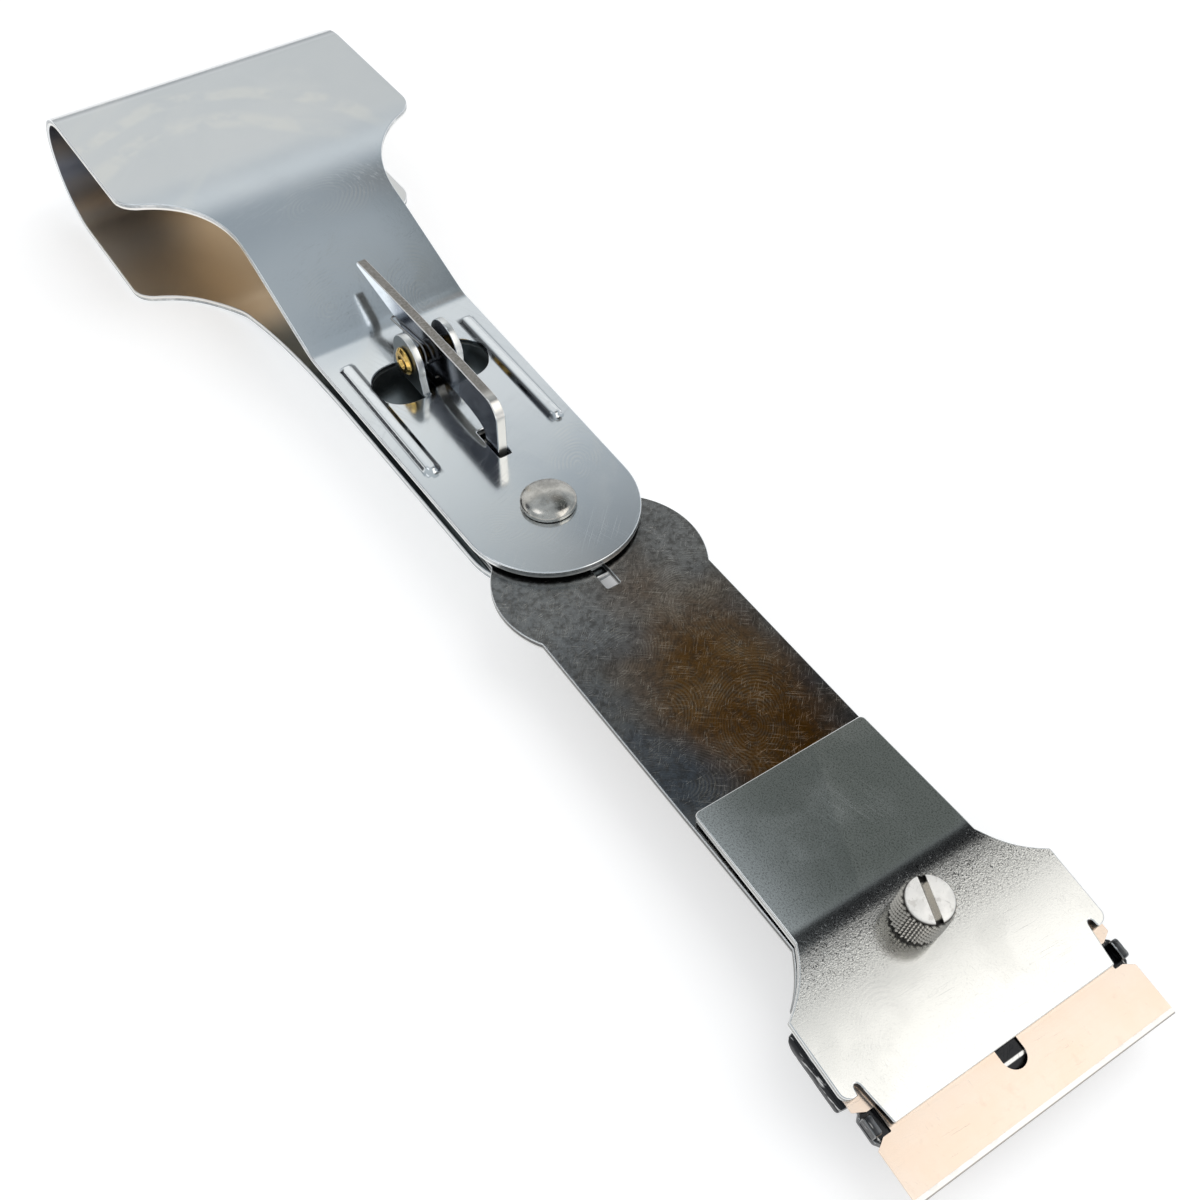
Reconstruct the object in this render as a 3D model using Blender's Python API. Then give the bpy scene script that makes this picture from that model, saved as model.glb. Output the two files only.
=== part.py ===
import math

import bmesh
import bpy
from mathutils import Vector

mm = 0.001

# clearances
running_gap = 0.3 * mm
seat_gap = 0.15 * mm

# handle strip, bent into a loop
sheet = 1.2 * mm
tip_radius = 13.6 * mm
neck_half = 14.3 * mm
grip_half = 27.8 * mm
grip_corner = 5.0 * mm
neck_fillet = 19.0 * mm
grip_start = 92.0 * mm
lower_setback = 4.3 * mm
flat_length = 45.54 * mm
upper_bend_radius = 10.0 * mm
upper_straight = 20.94 * mm
upper_ease_radius = 70.0 * mm
loop_rise = 10.0 * mm
loop_radius = 11.6 * mm
loop_centre = 117.0 * mm
lower_flat = 31.0 * mm
lower_bend_radius = 25.0 * mm
lower_straight = 7.7 * mm
lower_ease_radius = 120.0 * mm

# stiffening beads on the upper leaf
bead_offset = 10.9 * mm
bead_half_width = 1.45 * mm
bead_height = 0.6 * mm
bead_front = 14.2 * mm
bead_rear = 43.2 * mm

# lever slot, ears and windows in the upper leaf
slot_end_gap = 0.8 * mm
slot_back_gap = 2.3 * mm
ear_radius = 4.2 * mm
window_depth = 5.8 * mm
window_length = 9.8 * mm

# lock lever
lever_thickness = 1.6 * mm
lever_pin_x = 34.8 * mm
lever_pin_z = 4.0 * mm
lever_height = 9.2 * mm
lever_nose_radius = 3.0 * mm
lever_front = 12.7 * mm
lever_tail = 56.5 * mm
lever_tail_drop = 1.3 * mm
lever_tail_depth = 3.25 * mm
lever_body_rear = 7.0 * mm
lever_neck = 1.6 * mm
lever_arch = 2.2 * mm
leaf_clearance = 0.9 * mm
pawl_length = 3.8 * mm
lever_boss_radius = 3.1 * mm

# lever pin and spring
pin_radius = 1.3 * mm
pin_bore_radius = 0.7 * mm
pin_head_radius = 2.3 * mm
pin_head_height = 0.7 * mm
spring_wire_radius = 0.18 * mm
spring_turns = 1.45
spring_pitch = 0.85 * mm
spring_leg = 4.3 * mm
spring_leaf_gap = 0.6 * mm
spring_side_gap = 0.2 * mm

# pivot
rivet_shank_radius = 2.9 * mm
rivet_head_radius = 4.2 * mm
rivet_head_height = 1.9 * mm
rivet_rim_height = 0.7 * mm
washer_thickness = 0.4 * mm
washer_radius = 8.0 * mm

# arm and jaw
arm_thickness = 1.2 * mm
arm_half = 14.1 * mm
lobe_radius = 13.2 * mm
lobe_x = 13.6 * mm
lobe_bulge = 2.0 * mm
tail_wall = 3.35 * mm
tail_half = 12.6 * mm
bend_x = 75.3 * mm
bend_length = 3.0 * mm
head_pitch = math.radians(9.56)
jaw_inset = 1.0 * mm
jaw_nose = 4.0 * mm
lip_length = 2.2 * mm
lip_drop = 0.75 * mm
rim_radius = 1.65 * mm
rim_drop = 0.8 * mm
rim_setback = 1.7 * mm
hook_length = 2.5 * mm
hook_position = 19.5 * mm
hook_height = 1.45 * mm
hook_thickness = 1.1 * mm
hook_inset = 0.3 * mm
collar_height = 2.0 * mm
collar_wall = 1.3 * mm

# clamp plate
plate_thickness = 1.2 * mm
plate_rear = 20.7 * mm
plate_half = 13.6 * mm
flare_over = 0.4 * mm
flare_position = 6.8 * mm
plate_notch_depth = 1.2 * mm
plate_lip_setback = 2.1 * mm
plate_lip_radius = 1.3 * mm
plate_slit = 0.9 * mm
plate_front = 21.9 * mm
tongue_inset = 2.6 * mm

# blade
blade_width = 40.0 * mm
blade_depth = 18.0 * mm
blade_reach = 30.0 * mm
blade_thickness = 0.25 * mm
blade_edge = 0.04 * mm
bevel_width = 0.7 * mm
notch_clearance = 1.2 * mm
blade_slot_half = 1.65 * mm
blade_slot_length = 10.0 * mm
blade_slot_offset = 5.0 * mm

# thumb screw
screw_position = 5.0 * mm
screw_radius = 3.3 * mm
screw_height = 6.5 * mm
screw_shank_radius = 1.7 * mm
knurl_depth = 0.22 * mm
knurl_count = 26
knurl_rows = 9
screw_slot_width = 1.0 * mm
screw_slot_depth = 1.0 * mm
screw_slot_turn = math.radians(-18.0)

# levels and places that follow from the sizes above
leaf_under = -sheet
arm_top = leaf_under - washer_thickness - 2 * seat_gap
arm_under = arm_top - arm_thickness
lower_leaf_top = arm_under - running_gap
lower_leaf_under = lower_leaf_top - sheet
loop_under = loop_rise - 2 * loop_radius
slot_front = lever_front - slot_end_gap
slot_rear = lever_front + pawl_length + slot_back_gap
slot_half = lever_thickness / 2 + running_gap
lower_grip_start = grip_start + lower_setback
coil_length = spring_turns * spring_pitch + 2 * spring_wire_radius
ear_inner = lever_thickness / 2 + coil_length + 2 * spring_side_gap
ear_outer = ear_inner + sheet
lock_slot_front = lever_front - running_gap
lock_slot_rear = lever_front + pawl_length + 2.2 * running_gap
tail_radius = lock_slot_rear + tail_wall
lobe_y = arm_half + lobe_bulge - lobe_radius
plate_under = arm_top + blade_thickness + 2 * seat_gap
blade_half = blade_width / 2
blade_slot_end = blade_reach - blade_slot_offset
jaw_half = blade_half - jaw_inset
jaw_length = hook_position + hook_length + jaw_nose
rim_front = hook_position - rim_setback
hook_outer = blade_half - hook_inset
hook_inner = hook_outer - hook_thickness
flare_half = blade_half + flare_over
tongue_half = blade_half - tongue_inset
plate_lip = hook_position - plate_lip_setback
plate_notch = plate_lip - plate_notch_depth
front_reach = bend_x + blade_reach * math.cos(head_pitch)
rear_reach = -loop_centre - loop_radius
tool_shift = Vector((-(front_reach + rear_reach) / 2, 0.0, -loop_under))


for old in list(bpy.data.objects):
    bpy.data.objects.remove(old, do_unlink=True)


def material(name, colour, roughness, metallic):
    made = bpy.data.materials.new(name)
    made.use_nodes = True
    shader = made.node_tree.nodes["Principled BSDF"]
    shader.inputs["Base Color"].default_value = (*colour, 1.0)
    shader.inputs["Roughness"].default_value = roughness
    shader.inputs["Metallic"].default_value = metallic
    return made


def empty(name, parent, location, pitch=0.0):
    made = bpy.data.objects.new(name, None)
    made.empty_display_size = 0.01
    bpy.context.collection.objects.link(made)
    made.parent = parent
    made.location = location
    made.rotation_euler = (0.0, pitch, 0.0)
    return made


def object_from(name, work, parent=None, look=None, smooth=None):
    bmesh.ops.remove_doubles(work, verts=work.verts, dist=1e-7)
    bmesh.ops.recalc_face_normals(work, faces=work.faces)
    data = bpy.data.meshes.new(name)
    work.to_mesh(data)
    work.free()
    made = bpy.data.objects.new(name, data)
    bpy.context.collection.objects.link(made)
    made.parent = parent
    if look:
        data.materials.append(look)
    if smooth:
        data.shade_smooth()
        data.set_sharp_from_angle(angle=math.radians(smooth))
    return made


def prism(outline, low, high, axis="Z"):
    """Extrude a closed outline of pairs between two levels along an axis."""
    work = bmesh.new()

    def order(a, b, c):
        return (a, b, c) if axis == "Z" else (a, c, b)

    base = [work.verts.new(order(a, b, low)) for a, b in outline]
    face = work.faces.new(base)
    grown = bmesh.ops.extrude_face_region(work, geom=[face])
    raised = [item for item in grown["geom"] if isinstance(item, bmesh.types.BMVert)]
    step = Vector(order(0.0, 0.0, high - low))
    bmesh.ops.translate(work, verts=raised, vec=step)
    return work


def turned(profile, sides):
    """Revolve pairs of radius and height, from the top axis point down to the bottom one, about Z."""
    work = bmesh.new()
    rings = []
    for radius, height in profile:
        if radius < 1e-9:
            rings.append([work.verts.new((0.0, 0.0, height))])
        else:
            turn = 2 * math.pi / sides
            rings.append([work.verts.new((radius * math.cos(i * turn), radius * math.sin(i * turn), height))
                          for i in range(sides)])
    for upper, lower in zip(rings, rings[1:]):
        for i in range(sides):
            j = (i + 1) % sides
            corners = [upper[i % len(upper)], lower[i % len(lower)]]
            corners += [lower[j % len(lower)], upper[j % len(upper)]]
            work.faces.new(list(dict.fromkeys(corners)))
    return work


def combine(target, cutter, operation="DIFFERENCE"):
    step = target.modifiers.new("shape", "BOOLEAN")
    step.operation = operation
    step.solver = "EXACT"
    step.object = cutter
    graph = bpy.context.evaluated_depsgraph_get()
    shaped = bpy.data.meshes.new_from_object(target.evaluated_get(graph))
    target.modifiers.clear()
    target.data = shaped
    bpy.data.objects.remove(cutter, do_unlink=True)


def cut(target, work):
    combine(target, object_from("cutter", work, target.parent))


def add(target, work):
    combine(target, object_from("addition", work, target.parent), "UNION")


def rounded(target, angle):
    target.data.shade_smooth()
    target.data.set_sharp_from_angle(angle=math.radians(angle))


def arc(centre, radius, start, end, count):
    return [(centre[0] + radius * math.cos(math.radians(start + (end - start) * i / count)),
             centre[1] + radius * math.sin(math.radians(start + (end - start) * i / count)))
            for i in range(count + 1)]


def mirrored(half):
    """Close an outline given for the +Y side, front to rear, by its mirror image."""
    return half + [(x, -y) for x, y in reversed(half) if y > 1e-9]


def stadium(x_low, x_high, y_middle, half, count=8):
    front = arc((x_high - half, y_middle), half, -90, 90, count)
    return front + arc((x_low + half, y_middle), half, 90, 270, count)


def box(x_low, x_high, y_low, y_high):
    return [(x_low, y_low), (x_high, y_low), (x_high, y_high), (x_low, y_high)]


def disc(x, y, radius, sides=28):
    step = 360 / sides
    return arc((x, y), radius, step / 2, 360 - step / 2, sides - 1)


root = empty("scraper_frame", None, tool_shift)


# The strip runs from the upper tip along the upper leaf, round the rear bend and forward to the lower tip.
def strip_half_width(x, shoulder):
    if x > 0:
        return math.sqrt(max(tip_radius ** 2 - x ** 2, 0.0))
    if x > -flat_length:
        return tip_radius + (neck_half - tip_radius) * x / -flat_length
    corner_y = grip_half - grip_corner
    fillet_y = neck_half + neck_fillet
    reach = neck_fillet + grip_corner
    run = math.sqrt(reach ** 2 - (fillet_y - corner_y) ** 2)
    fillet_x = run - shoulder
    meet = run * grip_corner / reach - shoulder
    if x > fillet_x:
        return neck_half
    if x > meet:
        return fillet_y - math.sqrt(neck_fillet ** 2 - (x - fillet_x) ** 2)
    if x > -shoulder:
        return corner_y + math.sqrt(grip_corner ** 2 - (x + shoulder) ** 2)
    return grip_half


def slope_for(rise, radii, length):
    """Angle at which two opposite bends, of these radii in all, and a straight between climb the rise."""
    return math.atan2(radii, length) + math.asin((rise - radii) / math.hypot(radii, length))


def strip_path():
    """Points on the strip's outer face with the angle of travel, upper tip to lower tip."""
    points = []
    place = [0.0, 0.0, math.pi]

    def note():
        points.append(tuple(place))

    def straight(length, count):
        for _ in range(count):
            place[0] += length / count * math.cos(place[2])
            place[1] += length / count * math.sin(place[2])
            note()

    def bend(radius, angle, count):
        part = angle / count
        for _ in range(count):
            middle = place[2] + part / 2
            chord = 2 * radius * math.sin(abs(part) / 2)
            place[0] += chord * math.cos(middle)
            place[1] += chord * math.sin(middle)
            place[2] += part
            note()

    def tip(rising):
        angles = [4, 12, 20, 28, 36, 44, 52, 60, 68, 76, 84, 90]
        for angle in angles if rising else reversed(angles):
            place[0] = tip_radius * math.cos(math.radians(angle))
            note()

    tip(True)
    straight(flat_length, 4)
    slope = slope_for(loop_rise, upper_bend_radius + upper_ease_radius, upper_straight)
    bend(upper_bend_radius, -slope, 4)
    straight(upper_straight, 6)
    bend(upper_ease_radius, slope, 16)
    straight(loop_centre + place[0], 12)
    bend(loop_radius, math.pi, 28)
    straight(lower_flat, 20)
    slope = slope_for(lower_leaf_under - loop_under, lower_bend_radius + lower_ease_radius, lower_straight)
    bend(lower_bend_radius, slope, 8)
    straight(lower_straight, 6)
    bend(lower_ease_radius, -slope, 10)
    straight(-place[0], 4)
    points.pop()
    tip(False)
    return points


def strip():
    work = bmesh.new()
    rings = []
    for x, z, heading in strip_path():
        half = strip_half_width(x, lower_grip_start if math.cos(heading) > 0 else grip_start)
        inward_x = -math.sin(heading) * sheet
        inward_z = math.cos(heading) * sheet
        rings.append([work.verts.new((x, -half, z)), work.verts.new((x, half, z)),
                      work.verts.new((x + inward_x, half, z + inward_z)),
                      work.verts.new((x + inward_x, -half, z + inward_z))])
    for first, second in zip(rings, rings[1:]):
        for i in range(4):
            j = (i + 1) % 4
            work.faces.new((first[i], first[j], second[j], second[i]))
    work.faces.new(rings[0])
    work.faces.new(rings[-1])
    return work


def bead(side, grow, low):
    """Long rounded bead along X, closed at a given lower level."""
    half = bead_half_width + grow
    top = bead_height + grow
    work = bmesh.new()
    steps = 5
    rings = []
    for i in range(steps + 1):
        lean = math.pi / 2 * i / steps
        inset = half * (1 - math.cos(lean)) * 0.55
        level = top * math.sin(lean)
        rear = -bead_rear - grow + inset
        front = -bead_front + grow - inset
        outline = stadium(rear, front, side * bead_offset, half - inset, 6)
        rings.append([work.verts.new((x, y, level)) for x, y in outline])
    rings.insert(0, [work.verts.new((v.co.x, v.co.y, low)) for v in rings[0]])
    count = len(rings[0])
    for lower, upper in zip(rings, rings[1:]):
        for i in range(count):
            j = (i + 1) % count
            work.faces.new((lower[i], lower[j], upper[j], upper[i]))
    work.faces.new(rings[0])
    work.faces.new(rings[-1])
    return work


def ear(side):
    base = -sheet / 2
    foot = window_length / 2
    outline = [(-lever_pin_x - foot, base), (-lever_pin_x + foot, base), (-lever_pin_x + foot, 0.6 * mm)]
    outline += arc((-lever_pin_x, lever_pin_z), ear_radius, -8, 188, 16)
    outline += [(-lever_pin_x - foot, 0.6 * mm)]
    low, high = sorted((side * ear_inner, side * ear_outer))
    return prism(outline, low, high, "Y")


def window(side):
    """D-shaped opening that the ear was lanced from."""
    half = window_length / 2
    outline = [(-lever_pin_x - half, side * ear_outer), (-lever_pin_x + half, side * ear_outer)]
    for i in range(1, 14):
        turn = math.pi * i / 14
        reach = max(math.sin(turn), 0.0) ** 0.7
        outline.append((-lever_pin_x + half * math.cos(turn), side * (ear_outer + window_depth * reach)))
    return prism(outline, -sheet - mm, mm)


steel = material("plated_steel", (0.62, 0.66, 0.69), 0.24, 1.0)
handle = object_from("handle", strip(), root, steel)
for side in (-1, 1):
    add(handle, bead(side, 0.0, -sheet / 2))
    cut(handle, bead(side, -sheet / 2, -sheet - mm))
for side in (-1, 1):
    add(handle, ear(side))
    cut(handle, window(side))
cut(handle, prism(box(-slot_rear, -slot_front, -slot_half, slot_half), -sheet - mm, 2 * mm))
pin_hole = disc(-lever_pin_x, lever_pin_z, pin_radius + running_gap)
cut(handle, prism(pin_hole, -ear_outer - mm, ear_outer + mm, "Y"))
cut(handle, prism(disc(0.0, 0.0, rivet_shank_radius + running_gap), lower_leaf_under - mm, mm))
rounded(handle, 30)


# Pivot rivet, fixed in the two leaves, with a washer above the arm.
dome = [(0.0, rivet_head_height)]
for i in range(1, 7):
    lean = math.pi / 2 * i / 6
    dome.append((rivet_head_radius * math.sin(lean),
                 rivet_rim_height + (rivet_head_height - rivet_rim_height) * math.cos(lean)))
head_under = seat_gap
dome += [(rivet_head_radius, head_under + 0.15 * mm), (rivet_head_radius - 0.15 * mm, head_under)]
dome += [(rivet_shank_radius, head_under), (rivet_shank_radius, lower_leaf_under - seat_gap)]
dome += [(rivet_head_radius, lower_leaf_under - seat_gap), (rivet_head_radius, lower_leaf_under - 0.6 * mm)]
dome += [(rivet_head_radius * 0.75, lower_leaf_under - 1.0 * mm), (0.0, lower_leaf_under - 1.1 * mm)]
nickel = material("rivet_nickel", (0.55, 0.52, 0.47), 0.32, 1.0)
object_from("pivot_rivet", turned(dome, 40), root, nickel, 35)

washer_top = leaf_under - seat_gap
washer_steel = material("washer_steel", (0.5, 0.5, 0.5), 0.35, 1.0)
washer = object_from("pivot_washer", prism(disc(0.0, 0.0, washer_radius, 40), washer_top - washer_thickness,
                                           washer_top), root, washer_steel)
cut(washer, prism(disc(0.0, 0.0, rivet_shank_radius + running_gap), washer_top - mm, washer_top + mm))


# Arm: a flat tang with lobes, bent down at the jaw. It is shaped flat and then bent.
def bent(point):
    x, y, z = point
    start = bend_x - bend_length / 2
    along = x - start
    if along <= 0:
        return point
    radius = bend_length / head_pitch
    turn = min(along, bend_length) / radius
    rest = max(along - bend_length, 0.0)
    lift = z - arm_top
    return Vector((start + (radius + lift) * math.sin(turn) + rest * math.cos(turn), y,
                   arm_top - radius + (radius + lift) * math.cos(turn) - rest * math.sin(turn)))


def bend_at_jaw(target):
    work = bmesh.new()
    work.from_mesh(target.data)
    for i in range(5):
        place = bend_x - bend_length / 2 + bend_length * i / 4
        geometry = list(work.verts) + list(work.edges) + list(work.faces)
        bmesh.ops.bisect_plane(work, geom=geometry, dist=1e-8, plane_co=(place, 0, 0), plane_no=(1, 0, 0))
    for vertex in work.verts:
        vertex.co = bent(vertex.co.copy())
    work.to_mesh(target.data)
    work.free()


def flare(start, end):
    """Concave S from the shank half width to the jaw half width, over the flare length."""
    points = []
    for i in range(9):
        t = i / 8
        x = bend_x + flare_position * t
        y = start + (end - start) * (0.62 * t + 0.38 * t ** 3)
        points.append((x, y))
    return points


def arm_outline():
    hook_x = bend_x + hook_position
    side = [(bend_x + jaw_length, 0.0), (bend_x + jaw_length, jaw_half - 2.2 * mm),
            (hook_x + hook_length + 0.2 * mm, hook_outer), (hook_x - 0.2 * mm, hook_outer),
            (hook_x - 0.8 * mm, jaw_half)]
    side += [(x, min(y, jaw_half)) for x, y in reversed(flare(arm_half, flare_half))]
    lobe_end = math.degrees(math.asin((arm_half - lobe_y) / lobe_radius))
    side += arc((lobe_x, lobe_y), lobe_radius, lobe_end, 132, 12)
    corner = math.degrees(math.asin(tail_half / tail_radius))
    side += [(-tail_radius * math.cos(math.radians(corner)) + 3.0 * mm, tail_half)]
    side += arc((0.0, 0.0), tail_radius, 180 - corner + 4, 180, 6)
    return mirrored(side)


def rim(side):
    """Rolled-down edge of the jaw, lofted along X with its ends curling up into the sheet."""
    work = bmesh.new()
    start = bend_x + flare_position + 0.6 * mm
    end = bend_x + rim_front
    inner_radius = rim_radius - arm_thickness
    rings = []
    for i in range(13):
        t = i / 12
        near = min(t, 1 - t) * 12 / 3
        ease = math.sqrt(max(1 - (1 - min(near, 1.0)) ** 2, 0.0))
        sweep = math.radians(30 + 60 * ease)
        drop = rim_drop * ease
        x = start + (end - start) * t
        outer = []
        inner = []
        for k in range(7):
            lean = sweep * k / 6
            outer.append((jaw_half + rim_radius * math.sin(lean),
                          arm_top - rim_radius + rim_radius * math.cos(lean)))
            inner.append((jaw_half + inner_radius * math.sin(lean),
                          arm_top - rim_radius + inner_radius * math.cos(lean)))
        step = (drop * math.cos(sweep), -drop * math.sin(sweep))
        outer.append((outer[-1][0] + step[0], outer[-1][1] + step[1]))
        inner.append((inner[-1][0] + step[0], inner[-1][1] + step[1]))
        section = [(jaw_half - mm, arm_top)] + outer + inner[::-1] + [(jaw_half - mm, arm_under)]
        rings.append([work.verts.new((x, side * y, z)) for y, z in section])
    count = len(rings[0])
    for first, second in zip(rings, rings[1:]):
        for i in range(count):
            j = (i + 1) % count
            work.faces.new((first[i], first[j], second[j], second[i]))
    work.faces.new(rings[0])
    work.faces.new(rings[-1])
    return work


def hook(side):
    """Upright tab on the jaw's edge that locates the blade's side notch."""
    x = bend_x + hook_position
    middle = arm_top - arm_thickness / 2
    top = arm_top + hook_height
    round_off = 0.6 * mm
    outline = [(x, middle), (x + hook_length, middle)]
    outline += arc((x + hook_length - round_off, top - round_off), round_off, 0, 90, 4)
    outline += arc((x + round_off, top - round_off), round_off, 90, 180, 4)
    low, high = sorted((side * hook_outer, side * hook_inner))
    return prism(outline, low, high, "Y")


arm_pivot = empty("arm_pivot", root, (0.0, 0.0, 0.0))
arm_steel = material("arm_steel", (0.32, 0.31, 0.29), 0.3, 1.0)
arm = object_from("arm", prism(arm_outline(), arm_under, arm_top), arm_pivot, arm_steel)
for side in (-1, 1):
    add(arm, rim(side))
    add(arm, hook(side))
screw_x = bend_x + screw_position
tapped_radius = screw_shank_radius + running_gap
collar = disc(screw_x, 0.0, tapped_radius + collar_wall)
add(arm, prism(collar, arm_under - collar_height, arm_under + arm_thickness / 2))
cut(arm, prism(disc(screw_x, 0.0, tapped_radius), arm_under - collar_height - mm, arm_top + mm))
cut(arm, prism(disc(0.0, 0.0, rivet_shank_radius + running_gap), arm_under - mm, arm_top + mm))
for front, rear in ((-lock_slot_front, -lock_slot_rear), (lock_slot_rear, lock_slot_front)):
    cut(arm, prism(box(rear, front, -slot_half, slot_half), arm_under - mm, arm_top + mm))
lip_front = bend_x + jaw_length
lip = [(lip_front - lip_length, arm_top), (lip_front, arm_top - lip_drop),
       (lip_front + mm, arm_top - lip_drop), (lip_front + mm, arm_top + mm)]
cut(arm, prism(lip, -2 * jaw_half, 2 * jaw_half, "Y"))
bend_at_jaw(arm)
rounded(arm, 30)


# Clamp plate over the blade, bent with the jaw.
def plate_outline():
    front = bend_x + plate_front
    notch = bend_x + plate_notch
    lip = bend_x + plate_lip
    outer = tongue_half + plate_slit
    side = [(front, 0.0), (front, tongue_half - 0.35 * mm), (notch + 0.4 * mm, tongue_half + 0.35 * mm),
            (notch, tongue_half + 0.55 * mm), (notch, outer), (notch + 0.3 * mm, outer + 0.2 * mm),
            (lip, outer + 0.3 * mm)]
    side += arc((lip - plate_lip_radius, flare_half - plate_lip_radius), plate_lip_radius, 0, 90, 6)
    side += list(reversed(flare(arm_half - 0.1 * mm, flare_half)))
    round_off = 0.8 * mm
    side += arc((bend_x - plate_rear + round_off, plate_half - round_off), round_off, 90, 180, 4)
    return mirrored(side)


clamp_steel = material("clamp_steel", (0.72, 0.72, 0.7), 0.2, 1.0)
plate_top = plate_under + plate_thickness
plate_blank = prism(plate_outline(), plate_under, plate_top)
clamp_plate = object_from("clamp_plate", plate_blank, arm_pivot, clamp_steel)
cut(clamp_plate, prism(disc(screw_x, 0.0, tapped_radius), plate_under - mm, plate_top + mm))
bend_at_jaw(clamp_plate)
rounded(clamp_plate, 30)


# Head frame: origin on the bend line at the arm's top face, +X along the jaw, +Z square to it.
head = empty("head_frame", arm_pivot, (bend_x, 0.0, arm_top), head_pitch)


def blade_outline():
    rear = blade_reach - blade_depth
    root_y = hook_inner - notch_clearance
    start = hook_position - running_gap
    end = hook_position + hook_length + running_gap
    front = blade_reach - bevel_width
    side = [(front, 0.0), (front, blade_half), (end + 0.9 * mm, blade_half)]
    side += [(end, blade_half - 1.4 * mm), (end, root_y), (start, root_y), (start, blade_half - 1.5 * mm)]
    side += [(start - 0.8 * mm, blade_half), (rear, blade_half), (rear, 0.0)]
    return mirrored(side)


def blade_solid():
    low = seat_gap
    high = low + blade_thickness
    work = prism(blade_outline(), low, high)
    bmesh.ops.recalc_face_normals(work, faces=work.faces)
    front = [face for face in work.faces if face.normal.x > 0.9
             and face.calc_center_median().x > blade_reach - bevel_width - 1e-6]
    grown = bmesh.ops.extrude_face_region(work, geom=front)
    edge = [item for item in grown["geom"] if isinstance(item, bmesh.types.BMVert)]
    bmesh.ops.delete(work, geom=front, context="FACES")
    middle = (low + high) / 2
    for vertex in edge:
        vertex.co.x += bevel_width
        vertex.co.z = middle + math.copysign(blade_edge / 2, vertex.co.z - middle)
    return work


copper = material("blade_copper", (0.86, 0.66, 0.52), 0.22, 1.0)
blade = object_from("blade", blade_solid(), head, copper)
slot_outline = stadium(blade_slot_end - blade_slot_length, blade_slot_end, 0.0, blade_slot_half)
cut(blade, prism(slot_outline, -mm, mm))


def knurled_screw():
    """Thumb screw about +Z with a diamond knurl: alternate points of the side stand out."""
    low = plate_top - arm_top + seat_gap
    top = low + screw_height
    sides = 2 * knurl_count
    chamfer = 0.35 * mm
    root_radius = screw_radius - knurl_depth
    work = bmesh.new()

    def ring(radius_of, height):
        turn = 2 * math.pi / sides
        return [work.verts.new((radius_of(i) * math.cos(i * turn), radius_of(i) * math.sin(i * turn), height))
                for i in range(sides)]

    rings = [ring(lambda i: root_radius - chamfer, top)]
    for row in range(knurl_rows):
        height = top - chamfer - (screw_height - 2 * chamfer) * row / (knurl_rows - 1)
        rings.append(ring(lambda i, row=row: screw_radius if (i + row) % 2 else root_radius, height))
    rings.append(ring(lambda i: root_radius - chamfer, low))
    foot = -arm_thickness - collar_height
    rings.append(ring(lambda i: screw_shank_radius, low))
    rings.append(ring(lambda i: screw_shank_radius, foot + 0.4 * mm))
    rings.append(ring(lambda i: screw_shank_radius - 0.4 * mm, foot))
    for number, (upper, lower) in enumerate(zip(rings, rings[1:])):
        for i in range(sides):
            j = (i + 1) % sides
            corners = (upper[i], lower[i], lower[j], upper[j])
            if 1 <= number < knurl_rows:
                high = (i + number - 1) % 2
                pair = (corners[:3], (corners[0], corners[2], corners[3])) if high else (
                    (corners[0], corners[1], corners[3]), corners[1:])
                for three in pair:
                    work.faces.new(three)
            else:
                work.faces.new(corners)
    work.faces.new(rings[0])
    work.faces.new(rings[-1])
    return work


screw_seat = empty("screw_seat", head, (screw_position, 0.0, 0.0))
screw_nickel = material("screw_nickel", (0.74, 0.71, 0.66), 0.25, 1.0)
thumb_screw = object_from("thumb_screw", knurled_screw(), screw_seat, screw_nickel)
screw_top = plate_top - arm_top + seat_gap + screw_height
groove = prism(box(-2 * screw_radius, 2 * screw_radius, -screw_slot_width / 2, screw_slot_width / 2),
               screw_top - screw_slot_depth, screw_top + mm)
for vertex in groove.verts:
    x, y = vertex.co.x, vertex.co.y
    vertex.co.x = x * math.cos(screw_slot_turn) - y * math.sin(screw_slot_turn)
    vertex.co.y = x * math.sin(screw_slot_turn) + y * math.cos(screw_slot_turn)
cut(thumb_screw, groove)


# Lock lever: an upright fin on the pin. At rest the pawl stands just clear of the arm.
lever_pivot = empty("lever_pivot", root, (-lever_pin_x, 0.0, lever_pin_z))


def lever_outline():
    """Side view about the pin, counter-clockwise from the pawl's rear foot."""
    front = lever_pin_x - lever_front
    pawl_rear = front - pawl_length
    foot = arm_top + running_gap - lever_pin_z
    under = leaf_clearance - lever_pin_z
    top = lever_height - lever_pin_z
    tail = lever_pin_x - lever_tail
    tail_round = 0.5 * mm
    outline = [(pawl_rear, foot), (front - 0.4 * mm, foot), (front, foot + 0.4 * mm)]
    outline += arc((front - lever_nose_radius, top - lever_nose_radius), lever_nose_radius, 0, 90, 8)
    ridge = front - lever_nose_radius - tail - tail_round
    for i in range(1, 9):
        t = i / 8
        outline.append((front - lever_nose_radius - ridge * t, top - lever_tail_drop * t ** 2))
    outline += arc((tail + tail_round, top - lever_tail_drop - tail_round), tail_round, 110, 230, 4)
    tail_root = top - lever_tail_drop - lever_tail_depth
    outline += arc((-lever_body_rear - lever_neck, tail_root - lever_neck), lever_neck, 80, 10, 6)
    heel = 1.0 * mm
    outline += arc((-lever_body_rear + heel, under + heel), heel, 180, 270, 4)
    crown = (pawl_rear - lever_boss_radius) / 2
    for i in range(11):
        turn = math.pi * i / 10
        outline.append((lever_boss_radius + crown - crown * math.cos(turn),
                        under + lever_arch * math.sin(turn) ** 0.75))
    return outline


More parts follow.
